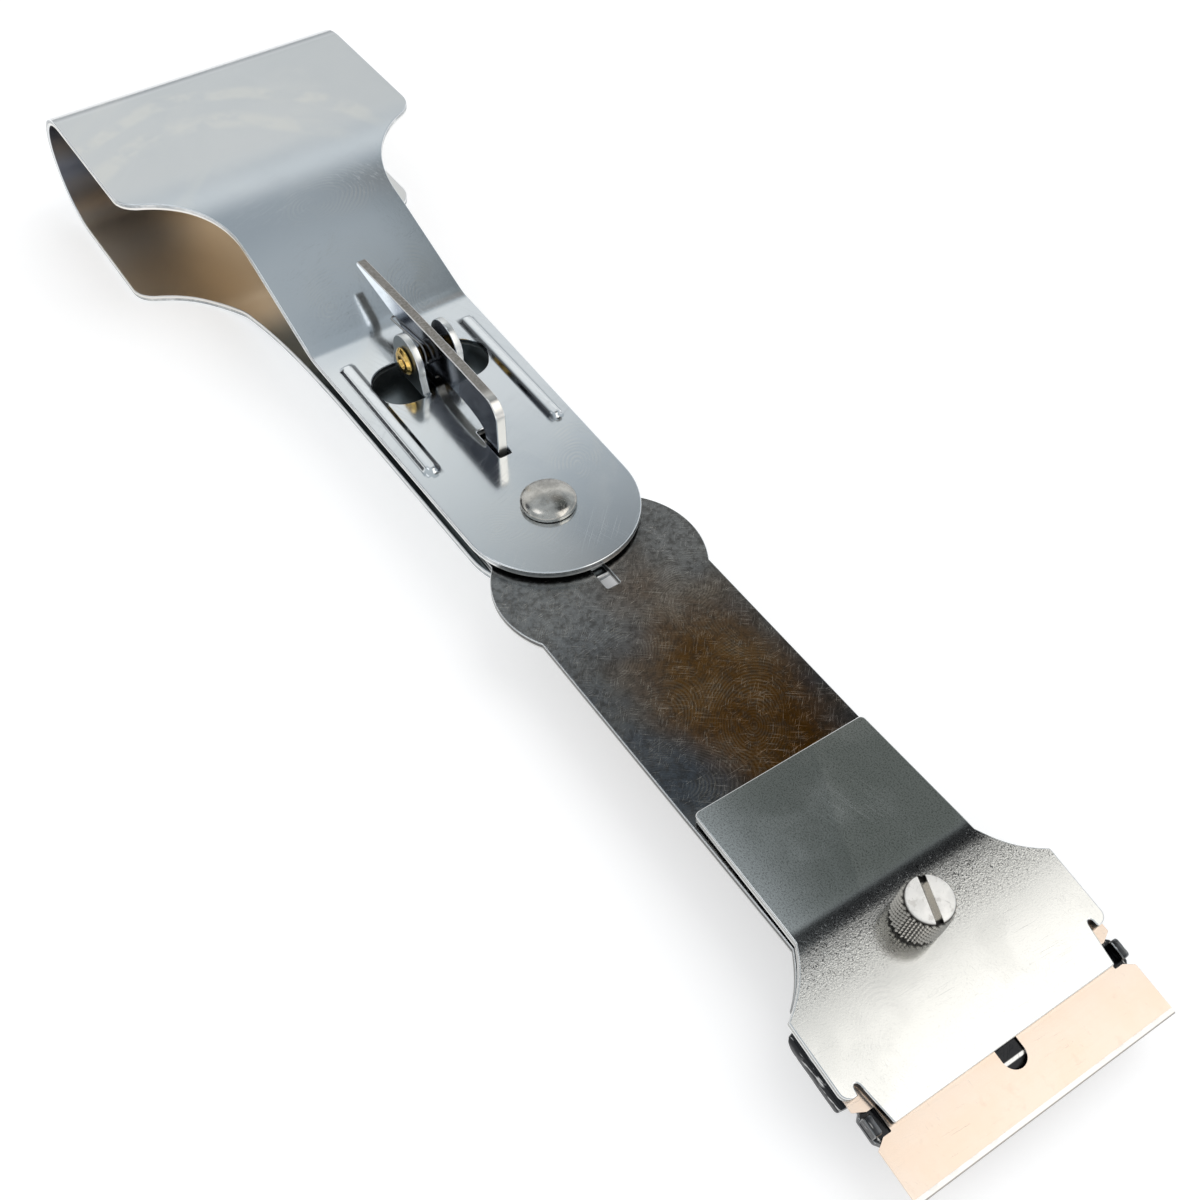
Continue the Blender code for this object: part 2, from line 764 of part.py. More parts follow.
lever_steel = material("lever_steel", (0.45, 0.47, 0.5), 0.16, 1.0)
lock_lever = object_from("lock_lever", prism(lever_outline(), -lever_thickness / 2, lever_thickness / 2, "Y"),
                         lever_pivot, lever_steel)
cut(lock_lever, prism(disc(0.0, 0.0, pin_radius + running_gap), -ear_outer, ear_outer, "Y"))
rounded(lock_lever, 30)


# Brass tubular pin through the ears, turned about Z and laid along Y.
head_face = ear_outer + seat_gap + pin_head_height
tube = [(pin_bore_radius, head_face - 0.35 * mm), (pin_bore_radius + 0.3 * mm, head_face)]
tube += [(pin_head_radius - 0.45 * mm, head_face), (pin_head_radius, head_face - 0.4 * mm)]
tube += [(pin_head_radius, ear_outer + seat_gap), (pin_radius, ear_outer + seat_gap)]
tube += [(radius, -height) for radius, height in reversed(tube)]
tube.append(tube[0])
pin_work = turned(tube, 28)
for vertex in pin_work.verts:
    vertex.co = Vector((vertex.co.x, vertex.co.z, -vertex.co.y))
brass = material("pin_brass", (0.83, 0.62, 0.27), 0.22, 1.0)
object_from("lever_pin", pin_work, lever_pivot, brass, 35)


# Torsion spring on the pin, between the lever and the right ear. One leg lies over the leaf, the other reaches
# back along the lever and turns in under its tail.
def spring_points():
    coil = pin_radius + running_gap + spring_wire_radius
    start = ear_inner - spring_side_gap - spring_wire_radius
    first = math.radians(-70)
    count = round(spring_turns * 10)
    coils = []
    for i in range(count + 1):
        turn = first + 2 * math.pi * spring_turns * i / count
        coils.append(Vector((coil * math.cos(turn), spring_pitch * spring_turns * i / count - start,
                             coil * math.sin(turn))))
    leaf_end = Vector((-spring_leg, coils[0].y, spring_wire_radius + spring_leaf_gap - lever_pin_z))
    leaf_leg = [coils[0].lerp(leaf_end, k / 3) for k in (3, 2, 1)]
    corner = 0.6 * mm
    tail_under = lever_height - lever_pin_z - lever_tail_drop - lever_tail_depth
    elbow = Vector((-lever_body_rear - lever_neck - mm, coils[-1].y, tail_under - 0.4 * mm))
    tail_leg = [coils[-1].lerp(elbow, k / 3) for k in (1, 2, 3)]
    tail_leg += [elbow + Vector((-0.7 * corner, 0.3 * corner, 0.0)), elbow + Vector((-corner, corner, 0.0)),
                 elbow + Vector((-corner, -elbow.y, 0.0))]
    return leaf_leg + coils + tail_leg


def least_gap(points, radius):
    """Least clear distance between parts of the wire over half a turn apart."""
    dense = []
    for first, second in zip(points, points[1:]):
        dense += [first.lerp(second, k / 6) for k in range(6)]
    apart = 36
    return min((a - b).length for i, a in enumerate(dense) for b in dense[i + apart:]) - 2 * radius


wire = spring_points()
print("spring least gap mm", round(least_gap(wire, spring_wire_radius) / mm, 3))
route = bpy.data.curves.new("lever_spring", "CURVE")
route.dimensions = "3D"
route.bevel_depth = spring_wire_radius
route.bevel_resolution = 1
route.use_fill_caps = True
line = route.splines.new("POLY")
line.points.add(len(wire) - 1)
for point, place in zip(line.points, wire):
    point.co = (*place, 1.0)
spring_steel = material("spring_steel", (0.6, 0.6, 0.6), 0.3, 1.0)
route.materials.append(spring_steel)
spring = bpy.data.objects.new("lever_spring", route)
bpy.context.collection.objects.link(spring)
spring.parent = lever_pivot
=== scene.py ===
from math import asin, atan2, ceil, copysign, cos, degrees, dist, hypot, pi, prod, radians, sin, sqrt, tan

import bmesh
import bpy
from mathutils import Matrix, Vector, kdtree, noise
from mathutils.geometry import delaunay_2d_cdt


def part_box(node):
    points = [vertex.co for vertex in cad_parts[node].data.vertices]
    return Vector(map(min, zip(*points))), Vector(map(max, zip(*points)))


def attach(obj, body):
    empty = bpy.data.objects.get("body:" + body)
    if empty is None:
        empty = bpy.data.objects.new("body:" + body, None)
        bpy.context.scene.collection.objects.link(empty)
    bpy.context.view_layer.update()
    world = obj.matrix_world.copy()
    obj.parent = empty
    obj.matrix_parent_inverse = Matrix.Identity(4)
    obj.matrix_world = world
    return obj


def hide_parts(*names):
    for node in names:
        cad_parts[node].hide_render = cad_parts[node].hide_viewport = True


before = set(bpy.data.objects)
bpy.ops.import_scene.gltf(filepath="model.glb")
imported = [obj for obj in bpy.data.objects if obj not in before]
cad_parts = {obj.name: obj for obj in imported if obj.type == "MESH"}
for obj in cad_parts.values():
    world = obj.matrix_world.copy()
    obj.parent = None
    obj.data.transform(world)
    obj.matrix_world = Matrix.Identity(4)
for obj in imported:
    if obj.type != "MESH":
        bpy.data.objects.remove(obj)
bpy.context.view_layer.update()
mm = 0.001
rivetLow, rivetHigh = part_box("pivot_rivet")
rivetRise = 1.9  # dome over the upper leaf
pivot = Vector(((rivetLow.x + rivetHigh.x) / 2, (rivetLow.y + rivetHigh.y) / 2, rivetHigh.z - rivetRise * mm))
toWorld = Matrix.Translation(pivot) @ Matrix.Scale(mm, 4)
print("frame loaded, rivet axis at", [round(v / mm, 2) for v in pivot], "mm")

# all sizes are in millimetres, and levels count from the upper leaf's top at the rivet
sheet = 1.2  # of the handle, the arm and the clamp plate
armTop, lowerUnder, plateUnder = -1.9, -4.6, -1.35
bendX, bendLength, jawPitch = 75.3, 3.0, radians(9.56)  # where the arm bends down to its jaw
screwX = 5.0  # ahead of that bend
rivetHole = 3.2
sides = (-1, 1)


class Sizes(dict):  # the sizes of one piece, by name
    __getattr__ = dict.__getitem__


def linked(name, data):  # a new object in the scene
    made = bpy.data.objects.new(name, data)
    bpy.context.collection.objects.link(made)
    return made


def evaluated(holder):  # its mesh with the modifiers applied
    graph = bpy.context.evaluated_depsgraph_get()
    return bpy.data.meshes.new_from_object(holder.evaluated_get(graph))


def share(value):  # kept between 0 and 1
    return min(max(value, 0.0), 1.0)


def turnLoop(loop, left):  # a loop with the sheet on its left, or on its right for a hole
    area = sum(a[0] * b[1] - b[0] * a[1] for a, b in zip(loop, loop[1:] + loop[:1]))
    return list(loop) if (area > 0) == left else list(reversed(loop))


def arc(middle, radius, start, end, count):
    turns = [radians(start + (end - start) * i / count) for i in range(count + 1)]
    return [(middle[0] + radius * cos(turn), middle[1] + radius * sin(turn)) for turn in turns]


def ringLoop(x, radius, count=48):
    return arc((x, 0), radius, 0, 360 - 360 / count, count - 1)


def boxLoop(xLow, xHigh, half):
    return [(xLow, -half), (xHigh, -half), (xHigh, half), (xLow, half)]


def hump(x, y, half, height, power, count):  # a blunt arch from one foot to the other
    turns = [pi * i / count for i in range(count + 1)]
    return [(x + half * cos(turn), y + height * max(sin(turn), 0.0) ** power) for turn in turns]


def bothSides(half):  # closes an outline drawn for +Y from front to rear
    return half + [(x, -y) for x, y in reversed(half) if y > 1e-6]


def softened(line, radius, closed=True, steps=4, least=14.0):  # rounds the corners of a line
    made = []
    count = len(line)
    for i, (x, y) in enumerate(line):
        here = Vector((x, y))
        before = here - Vector(line[i - 1])
        after = Vector(line[(i + 1) % count]) - here
        turn = before.angle(after, 0.0)
        if degrees(turn) < least or not closed and i in (0, count - 1):
            made.append((x, y))
            continue
        cut = min(radius * tan(turn / 2), 0.45 * before.length, 0.45 * after.length)
        start = here - before.normalized() * cut
        end = here + after.normalized() * cut
        for k in range(steps + 1):
            t = k / steps
            made.append(tuple(start * (1 - t) ** 2 + here * 2 * t * (1 - t) + end * t ** 2))
    return made


def finerLoop(loop, longest):  # splits long edges of a loop
    made = []
    for a, b in zip(loop, loop[1:] + loop[:1]):
        parts = max(1, ceil(dist(a, b) / longest))
        made += [(a[0] + (b[0] - a[0]) * k / parts, a[1] + (b[1] - a[1]) * k / parts) for k in range(parts)]
    return made


def filled(flat, bound, inner):  # triangles of a sheet, between its loops and through its inner points
    apart = 0.3  # least distance of an inner point from a loop
    tree = kdtree.KDTree(len(flat))
    for i, spot in enumerate(flat):
        tree.insert((spot.x, spot.y, 0.0), i)
    tree.balance()
    spots = [Vector(spot) for spot in inner if tree.find((spot[0], spot[1], 0.0))[2] > apart]
    corners, _, triangles, source = delaunay_2d_cdt(flat + spots, bound, [], 0, 1e-6)[:4]
    known = {old: new for new, olds in enumerate(source) for old in olds}
    fence = {(known[a], known[b]) for a, b in bound}
    owner = {}
    for number, three in enumerate(triangles):
        for pair in zip(three, three[1:] + three[:1]):
            owner[pair] = number
    found = {owner[pair] for pair in fence if pair in owner}
    queue = list(found)
    while queue:  # spreads over the sheet from its loops, and never across one
        three = triangles[queue.pop()]
        for a, b in zip(three, three[1:] + three[:1]):
            other = owner.get((b, a))
            if other is not None and other not in found and (a, b) not in fence and (b, a) not in fence:
                found.add(other)
                queue.append(other)
    return corners, [triangles[number] for number in sorted(found)], source


class Shell:  # points, normals and faces of one piece, from the rivet
    def __init__(self):
        self.points, self.normals, self.rims, self.unders, self.faces = [], [], [], [], []

    def point(self, place, normal, rim=0.0, under=0.0):
        self.points.append(Vector(place))
        self.normals.append(Vector(normal).normalized())
        self.rims.append(rim)
        self.unders.append(under)
        return len(self.points) - 1

    def press(self, outline, holes, place, thickness, edge, inner=()):
        # a blanked sheet with rounded edges, laid on any surface by place(u, v, depth)
        steps = 3  # round each edge
        flat, upper, lower, bound = [], [], [], []

        def directions(u, v):
            step = 0.01
            along = place(u + step, v, 0.0) - place(u - step, v, 0.0)
            across = place(u, v + step, 0.0) - place(u, v - step, 0.0)
            return along.normalized(), across.normalized(), along.cross(across).normalized()

        for loop in [turnLoop(outline, True)] + [turnLoop(hole, False) for hole in holes]:
            count = len(loop)
            rings = [[] for _ in range(2 * steps + 2)]
            start = len(flat)
            for i in range(count):
                before, here, after = (Vector(loop[k % count]) for k in (i - 1, i, i + 1))
                first = (here - before).normalized()
                second = (after - here).normalized()
                left = Vector((-first.y - second.y, first.x + second.x)).normalized()
                reach = edge / max(left.dot(Vector((-first.y, first.x))), 0.4)
                along, across, face = directions(*here)
                out = -(along * left.x + across * left.y)
                for k in range(steps + 1):
                    lean = pi / 2 * k / steps
                    u, v = here + left * (1 - sin(lean)) * reach
                    depth = edge * (1 - cos(lean))
                    tilt, rise = out * sin(lean), face * cos(lean)
                    rings[k].append(self.point(place(u, v, depth), tilt + rise, k / steps))
                    rings[-1 - k].append(self.point(place(u, v, thickness - depth), tilt - rise, k / steps, 1.0))
                flat.append(here + left * reach)
            for top, below in zip(rings, rings[1:]):
                self.faces += [(top[i - 1], below[i - 1], below[i], top[i]) for i in range(count)]
            upper += rings[0]
            lower += rings[-1]
            bound += [(start + i, start + (i + 1) % count) for i in range(count)]
        corners, triangles, source = filled(flat, bound, inner)
        tops, bottoms = {}, {}
        for new, olds in enumerate(source):
            for old in olds:
                if old < len(flat):
                    tops[new], bottoms[new] = upper[old], lower[old]
        for three in triangles:
            for new in three:
                if new not in tops:
                    u, v = corners[new]
                    face = directions(u, v)[2]
                    tops[new] = self.point(place(u, v, 0.0), face)
                    bottoms[new] = self.point(place(u, v, thickness), -face, 0.0, 1.0)
            self.faces.append(tuple(tops[new] for new in three))
            self.faces.append(tuple(bottoms[new] for new in reversed(three)))
        return self

    def turn(self, profile, count, place, closed=False):
        # revolves pairs of radius and height, given with the solid on their right, about an axis
        last = len(profile) - 1
        rings = []
        for i, (radius, height) in enumerate(profile):
            before = profile[i - 1] if closed or i else profile[i]
            after = profile[i - last] if closed or i < last else profile[i]
            run = Vector((after[0] - before[0], after[1] - before[1])).normalized()
            ring = []
            pole = radius < 1e-6
            for k in range(1 if pole else count):
                angle = 2 * pi * k / count
                side = Vector((cos(angle), sin(angle), 0))
                slope = side * -run.y + Vector((0, 0, run.x))
                if pole:
                    slope = Vector((0, 0, copysign(1, -abs(run.x) if i else run.x)))
                spot = side * radius + Vector((0, 0, height))
                ring.append(self.point(place(spot), place(spot + slope) - place(spot)))
            rings.append(ring)
        for upper, lower in zip(rings, rings[1:] + (rings[:1] if closed else [])):
            for i in range(count):
                j = (i + 1) % count
                face = upper[i % len(upper)], lower[i % len(lower)], lower[j % len(lower)], upper[j % len(upper)]
                self.faces.append(tuple(dict.fromkeys(face)))
        return self

    def piece(self, name, ownNormals=True):
        mesh = bpy.data.meshes.new(name)
        mesh.from_pydata([pivot + place * mm for place in self.points], [], self.faces)
        mesh.shade_smooth()
        if ownNormals:
            mesh.normals_split_custom_set_from_vertices(self.normals)
        for label, values in (("rim", self.rims), ("under", self.unders)):  # edges and second faces, for the finishes
            mesh.attributes.new(label, "FLOAT", "POINT").data.foreach_set("value", values)
        print(name, len(mesh.polygons), "faces")
        return linked(name, mesh)


def bentAtJaw(x, y, lift):  # flat sheet coordinates to the bent arm, lift counts from the arm's top
    start = bendX - bendLength / 2
    radius = bendLength / jawPitch
    turn = min(max(x - start, 0.0), bendLength) / radius
    rest = x - start if x < start else max(x - start - bendLength, 0.0)
    return Vector((start + (radius + lift) * sin(turn) + rest * cos(turn), y,
                   armTop - radius + (radius + lift) * cos(turn) - rest * sin(turn)))


headPlace = Matrix.Translation((bendX, 0, armTop)) @ Matrix.Rotation(jawPitch, 4, "Y")

# the handle, one strip from the upper leaf's tip round the loop to the lower leaf's tip
handleSizes = Sizes(tipRadius=13.6, neckHalf=14.3, gripHalf=27.8, gripCorner=5.0, neckFillet=19.0, gripStart=92.0,
                    lowerSetback=4.3, flatLength=46.9, upperBend=10.0, upperRun=16.65, upperEase=70.0, loopRise=10.0,
                    loopRadius=11.6, loopCentre=117.0, lowerFlat=31.0, lowerBend=25.0, lowerRun=7.7, lowerEase=120.0,
                    step=0.75, edge=0.2)
beadSizes = Sizes(offset=10.9, front=15.65, rear=41.75, foot=1.6, crown=0.6, height=0.74)
earSizes = Sizes(pinX=-34.8, pinZ=4.0, inner=2.79, fold=0.4, radius=4.2, foot=4.9, step=0.6, hole=1.6,
                 windowDepth=5.8, lap=0.09, root=0.2, edge=0.16)
slotSizes = Sizes(front=-11.9, rear=-18.8, half=1.1, corner=0.35)


def slopeFor(rise, radii, length):
    return atan2(radii, length) + asin((rise - radii) / hypot(radii, length))


def runPlace(run, along):
    start, curl, x, z, heading = run
    gone = along - start
    end = heading + curl * gone
    if abs(curl) < 1e-9:
        return x + gone * cos(heading), z + gone * sin(heading), heading
    return x + (sin(end) - sin(heading)) / curl, z - (cos(end) - cos(heading)) / curl, end


def stripRuns():  # straights and bends: where each starts, its curl, place and heading
    s = handleSizes
    runs = []
    state = [s.tipRadius, 0.0, pi, 0.0]

    def run(length, turn=0.0):
        x, z, heading, along = state
        runs.append((along, turn / length, x, z, heading))
        state[:] = *runPlace(runs[-1], along + length), along + length

    run(s.tipRadius + s.flatLength)
    slope = slopeFor(s.loopRise, s.upperBend + s.upperEase, s.upperRun)
    run(s.upperBend * slope, -slope)
    run(s.upperRun)
    run(s.upperEase * slope, slope)
    run(s.loopCentre + state[0])
    run(s.loopRadius * pi, pi)
    run(s.lowerFlat)
    slope = slopeFor(lowerUnder - state[1], s.lowerBend + s.lowerEase, s.lowerRun)
    run(s.lowerBend * slope, slope)
    run(s.lowerRun)
    run(s.lowerEase * slope, -slope)
    run(s.tipRadius - state[0])
    return runs, state[3]


runs, stripLength = stripRuns()


def stripAt(along):
    return runPlace([run for run in runs if along >= run[0]][-1] if along > 0 else runs[0], along)


def stripHalf(along):  # half of the strip's width
    s = handleSizes
    x, _, heading = stripAt(along)
    if x > 0:
        return sqrt(max(s.tipRadius ** 2 - x ** 2, 0.0))
    if x > -s.flatLength:
        return s.tipRadius + (s.neckHalf - s.tipRadius) * x / -s.flatLength
    off = x + s.gripStart + (s.lowerSetback if cos(heading) > 0 else 0.0)
    cornerY = s.gripHalf - s.gripCorner
    filletY = s.neckHalf + s.neckFillet
    reach = s.neckFillet + s.gripCorner
    run = sqrt(reach ** 2 - (filletY - cornerY) ** 2)
    if off > run:
        return s.neckHalf
    if off > run * s.gripCorner / reach:
        return filletY - sqrt(s.neckFillet ** 2 - (off - run) ** 2)
    return cornerY + sqrt(s.gripCorner ** 2 - max(off, 0.0) ** 2)


def onStrip(along, v, depth):
    b = beadSizes
    x = handleSizes.tipRadius - along
    off = hypot(max(-b.rear - x, x + b.front, 0.0), abs(v) - b.offset)
    t = share((b.foot - off) / (b.foot - b.crown))
    lift = b.height * t * t * (3 - 2 * t) - depth
    x, z, heading = stripAt(along)
    return Vector((x + sin(heading) * lift, -v, z - cos(heading) * lift))


def handleOutline():
    s = handleSizes
    tip = [s.tipRadius * (1 - cos(radians(a))) for a in range(0, 90, 5)]
    middle = stripLength - 2 * s.tipRadius
    count = round(middle / s.step)
    stations = tip + [s.tipRadius + middle * i / count for i in range(count + 1)]
    stations += [stripLength - t for t in reversed(tip)]
    half = [(along, stripHalf(along)) for along in stations]
    return half + [(along, -v) for along, v in reversed(half[1:-1])]


def windowLoop(side):  # the opening that an ear was lanced from
    e = earSizes
    near = e.inner - e.lap
    loop = [(-e.foot, near), (e.foot, near)]
    loop += hump(0, e.inner + sheet, e.foot, e.windowDepth, 0.7, 28)
    middle = handleSizes.tipRadius - e.pinX
    return [(middle + a, side * v) for a, v in softened(loop, 0.4)]


def addEar(shell, side):  # the tab turned up beside the lever slot
    e = earSizes
    flat = e.root
    fold = e.fold * pi / 2

    def place(u, v, depth):
        lean = min(max(u - flat, 0.0) / e.fold, pi / 2)
        rest = max(u - flat - fold, 0.0)
        y = e.inner + e.fold * (sin(lean) - 1) + min(u - flat, 0.0) + depth * sin(lean)
        z = e.fold * (1 - cos(lean)) + rest - depth * cos(lean) - (0.02 if u < flat else 0.0)
        return Vector((e.pinX - side * v, side * y, z))

    up = flat + fold - e.fold
    loop = [(0.0, -e.foot), (up + e.step, -e.foot)]
    loop += arc((up + e.pinZ, 0), e.radius, -98, 98, 28)
    loop += [(up + e.step, e.foot), (0.0, e.foot)]
    inner = [(flat + fold * k / 6, v * 0.7) for k in range(7) for v in range(-6, 7)]
    shell.press(softened(loop, 0.5), [ringLoop(up + e.pinZ, e.hole, 32)], place, sheet, e.edge, inner)


def makeHandle():
    s, b = handleSizes, beadSizes
    front, rear = (s.tipRadius - slotSizes[end] for end in ("front", "rear"))
    slot = softened(boxLoop(front, rear, slotSizes.half), slotSizes.corner)
    holes = [finerLoop(slot, 0.8), windowLoop(-1), windowLoop(1)]
    holes += [ringLoop(along, rivetHole) for along in (s.tipRadius, stripLength - s.tipRadius)]
    inner = []
    along = 2.0
    while along < stripLength - 2.0:  # closer rows where the strip bends
        half = stripHalf(along)
        count = max(2, round(2 * half / 3.0))
        inner += [(along, -half + 2 * half * (k + 0.5) / count) for k in range(count)]
        along += 2.6 if along < 56 or along > stripLength - 40 else 0.9
    inner = [(a, v) for a, v in inner if not (abs(abs(v) - b.offset) < 2.4 and 25 < a < 60)]
    start = s.tipRadius + b.front - 2.1
    inner += [(start + row * 0.573, side * (b.offset + (column - 6) * 0.32))  # a fine grid on each bead
              for side in sides for row in range(54) for column in range(13)]
    shell = Shell().press(handleOutline(), holes, onStrip, sheet, s.edge, inner)
    for side in sides:
        addEar(shell, side)
    return shell.piece("handleStrip")


handle = makeHandle()

# the pivot
rivetSizes = Sizes(radius=4.2, rim=0.7, shank=2.9, seat=0.15, dent=0.07, struck=0.3)
washerSizes = Sizes(radius=8.0, top=-1.35, thickness=0.4, edge=0.08)


def rivetProfile():
    r = rivetSizes
    radius, shank, seat, low = r.radius, r.shank, r.seat, lowerUnder - r.seat
    dome = [(radius * sin(radians(a)), r.rim + (rivetRise - r.rim) * cos(radians(a))) for a in range(0, 91, 6)]
    return dome + softened([(radius, r.rim * 0.8), (radius, seat), (shank, seat), (shank, low), (radius, low),
                            (radius, low - 0.45), (radius * 0.75, low - 0.85), (0.0, low - 0.95)], 0.18, False)


def onRivet(spot):  # the dome was struck by hand, so it isn't quite even
    wave = noise.noise(Vector((spot.x * 0.55, spot.y * 0.55, 3.1)))
    dent = rivetSizes.dent * (wave - 0.6) * share((spot.z - rivetSizes.struck) / 0.5)
    return Vector(spot) + Vector((0, 0, dent))


rivet = Shell().turn(rivetProfile(), 72, onRivet).piece("pivotRivet")
washer = Shell().press(ringLoop(0, washerSizes.radius, 72), [ringLoop(0, rivetHole)],
                       lambda x, y, depth: Vector((x, y, washerSizes.top - depth)),
                       washerSizes.thickness, washerSizes.edge).piece("pivotWasher")

# the arm with its jaw
armSizes = Sizes(half=14.1, lobeRadius=13.2, lobeX=13.6, lobeBulge=2.0, tailHalf=12.6, tailRadius=20.51,
                 flareLength=6.8, flareHalf=20.4, jawHalf=19.0, jawLength=26.0, lipLength=2.2, lipDrop=0.75,
                 lockFront=12.4, lockRear=17.16, lockHalf=1.1, tapped=2.0, edge=0.16)
rimSizes = Sizes(radius=1.65, drop=0.8, front=17.8, rear=7.4)
hookSizes = Sizes(x=19.5, length=2.5, height=1.45, outer=19.7, inner=18.6, round=0.55, root=0.6, edge=0.18)
collarSizes = Sizes(height=2.0, wall=1.3, root=0.3)


def flareLine(start, end):  # the side of a sheet as it widens towards the jaw
    steps = [i / 16 for i in range(17)]
    return [(bendX + armSizes.flareLength * t, start + (end - start) * (0.62 * t + 0.38 * t ** 3)) for t in steps]


def armOutline():
    a, h, r = armSizes, hookSizes, rimSizes
    hookX = bendX + h.x
    side = [(bendX + a.jawLength, 0.0), (bendX + a.jawLength, a.jawHalf - 2.2),
            (hookX + h.length + 0.2, h.outer), (hookX - 0.2, h.outer), (hookX - 0.8, a.jawHalf)]
    full = r.radius * pi / 2 + r.drop
    for i in range(33):
        t = i / 32
        near = min(t * 14, (1 - t) * 5, 1.0)
        side.append((bendX + r.front + (r.rear - r.front) * t, a.jawHalf + full * sqrt(1 - (1 - near) ** 2)))
    side += [(x, y) for x, y in reversed(flareLine(a.half, a.flareHalf)) if y < a.jawHalf - 0.1]
    lobeY = a.half + a.lobeBulge - a.lobeRadius
    lobeEnd = degrees(asin((a.half - lobeY) / a.lobeRadius))
    side += arc((a.lobeX, lobeY), a.lobeRadius, lobeEnd, 132, 24)
    corner = asin(a.tailHalf / a.tailRadius)
    side += [(-a.tailRadius * cos(corner) + 3.0, a.tailHalf)]
    side += arc((0, 0), a.tailRadius, 184 - degrees(corner), 180, 12)
    return finerLoop(softened(bothSides(side), 0.5), 2.0)


def onArm(x, y, depth):
    a, r = armSizes, rimSizes
    drop = a.lipDrop * share((x - bendX - a.jawLength + a.lipLength) / a.lipLength)
    lift = -drop - depth * (sheet - drop) / sheet
    over = abs(y) - a.jawHalf
    if over <= 0 or x > bendX + r.front + 0.4:
        return bentAtJaw(x, y, lift)
    turn = min(over / r.radius, pi / 2)  # rolled down along the jaw's side
    rest = max(over - r.radius * pi / 2, 0.0)
    reach = (r.radius + lift) * sin(turn) + rest * cos(turn)
    return bentAtJaw(x, copysign(a.jawHalf + reach, y),
                     (r.radius + lift) * cos(turn) - r.radius - rest * sin(turn))


def addHook(shell, side):
    h = hookSizes
    x, top, root = bendX + h.x, h.height, -h.root
    loop = [(x, root), (x + h.length, root), (x + h.length, top), (x, top)]
    face = -h.outer if side < 0 else h.inner
    shell.press(finerLoop(softened(loop, h.round), 0.4), [], lambda u, v, depth: bentAtJaw(u, face + depth, v),
                h.outer - h.inner, h.edge)


def makeArm():
    a, c = armSizes, collarSizes
    holes = [ringLoop(0, rivetHole), ringLoop(bendX + screwX, a.tapped)]
    for low, high in ((-a.lockRear, -a.lockFront), (a.lockFront, a.lockRear)):
        holes.append(softened(boxLoop(low, high, a.lockHalf), 0.3))
    lip = bendX + a.jawLength - a.lipLength
    inner = [(bendX + 0.75 * k, -13 + 2.0 * j) for k in range(-3, 6) for j in range(14)]
    inner += [(bendX + 7.6 + 0.8 * k, side * (18.6 + 0.37 * j)) for k in range(14) for j in range(11) for side in sides]
    inner += [(lip + d, -17 + 2.0 * j) for d in (-0.15, 0.15) for j in range(18)]
    shell = Shell().press(armOutline(), holes, onArm, sheet, a.edge, inner)
    for side in sides:
        addHook(shell, side)
    near, far, low = a.tapped, a.tapped + c.wall, -sheet - c.height
    ring = [(near, c.root - sheet), (far, c.root - sheet), (near + c.wall * 0.8, low), (near, low)]
    shell.turn(softened(ring, 0.2), 48, lambda spot: headPlace @ (spot + Vector((screwX, 0, 0))), True)
    return shell.piece("swingArm")


arm = makeArm()

# the clamp plate
plateSizes = Sizes(rear=20.7, half=13.6, front=21.9, tongueHalf=17.4, slit=0.9, lip=17.4, lipRadius=1.3,
                   notchDepth=1.2, round=0.8, hole=2.0, flareGap=0.1, edge=0.2)


def plateOutline():
    p, flareHalf = plateSizes, armSizes.flareHalf
    front, lip, tongue = bendX + p.front, bendX + p.lip, p.tongueHalf
    notch, outer = lip - p.notchDepth, tongue + p.slit
    side = [(front, 0.0), (front, tongue - 0.35), (notch + 0.4, tongue + 0.35), (notch, tongue + 0.55), (notch, outer),
            (notch + 0.3, outer + 0.2), (lip, outer + 0.3)]
    side += arc((lip - p.lipRadius, flareHalf - p.lipRadius), p.lipRadius, 0, 90, 10)
    side += reversed(flareLine(armSizes.half - p.flareGap, flareHalf))
    side += arc((bendX - p.rear + p.round, p.half - p.round), p.round, 90, 180, 8)
    return finerLoop(softened(bothSides(side), 0.35), 2.0)


plate = Shell().press(plateOutline(), [ringLoop(bendX + screwX, plateSizes.hole)],
                      lambda x, y, depth: bentAtJaw(x, y, plateUnder + sheet - armTop - depth), sheet, plateSizes.edge,
                      [(bendX + 0.4 * k, -13.4 + 1.5 * j) for k in range(-6, 8) for j in range(18)]).piece("clampPlate")

# the blade
bladeSizes = Sizes(half=20.0, depth=18.0, reach=30.0, thickness=0.25, keen=0.04, bevel=0.7, seat=0.15, slotHalf=1.65,
                   slotFrom=15.0, slotTo=25.0, notchRoot=17.4, notchGap=0.3, edge=0.02)


def bladeOutline():
    b = bladeSizes
    reach, half, rear = b.reach, b.half, b.reach - b.depth
    start = hookSizes.x - b.notchGap
    end = hookSizes.x + hookSizes.length + b.notchGap
    side = [(reach, 0.0), (reach, half), (reach - b.bevel, half), (end + 0.9, half), (end, half - 1.4),
            (end, b.notchRoot), (start, b.notchRoot), (start, half - 1.5), (start - 0.8, half), (rear, half),
            (rear, 0.0)]
    return finerLoop(softened(bothSides(side), 0.12, steps=3), 3.0)


def onBlade(x, y, depth):  # ground thin towards its edge
    b = bladeSizes
    thick = b.thickness + (b.keen - b.thickness) * share((x - b.reach) / b.bevel + 1)
    middle = b.seat + b.thickness / 2
    return headPlace @ Vector((x, y, middle + thick / 2 - depth * thick / b.thickness))


def makeBlade():
    b = bladeSizes
    slot = arc((b.slotTo - b.slotHalf, 0), b.slotHalf, -90, 90, 14)
    slot += arc((b.slotFrom + b.slotHalf, 0), b.slotHalf, 90, 270, 14)
    inner = [(b.reach - b.bevel + d, -19.5 + 1.5 * k) for d in (-0.04, 0.04) for k in range(27)]
    return Shell().press(bladeOutline(), [slot], onBlade, b.thickness, b.edge, inner).piece("bladeStrip")


blade = makeBlade()

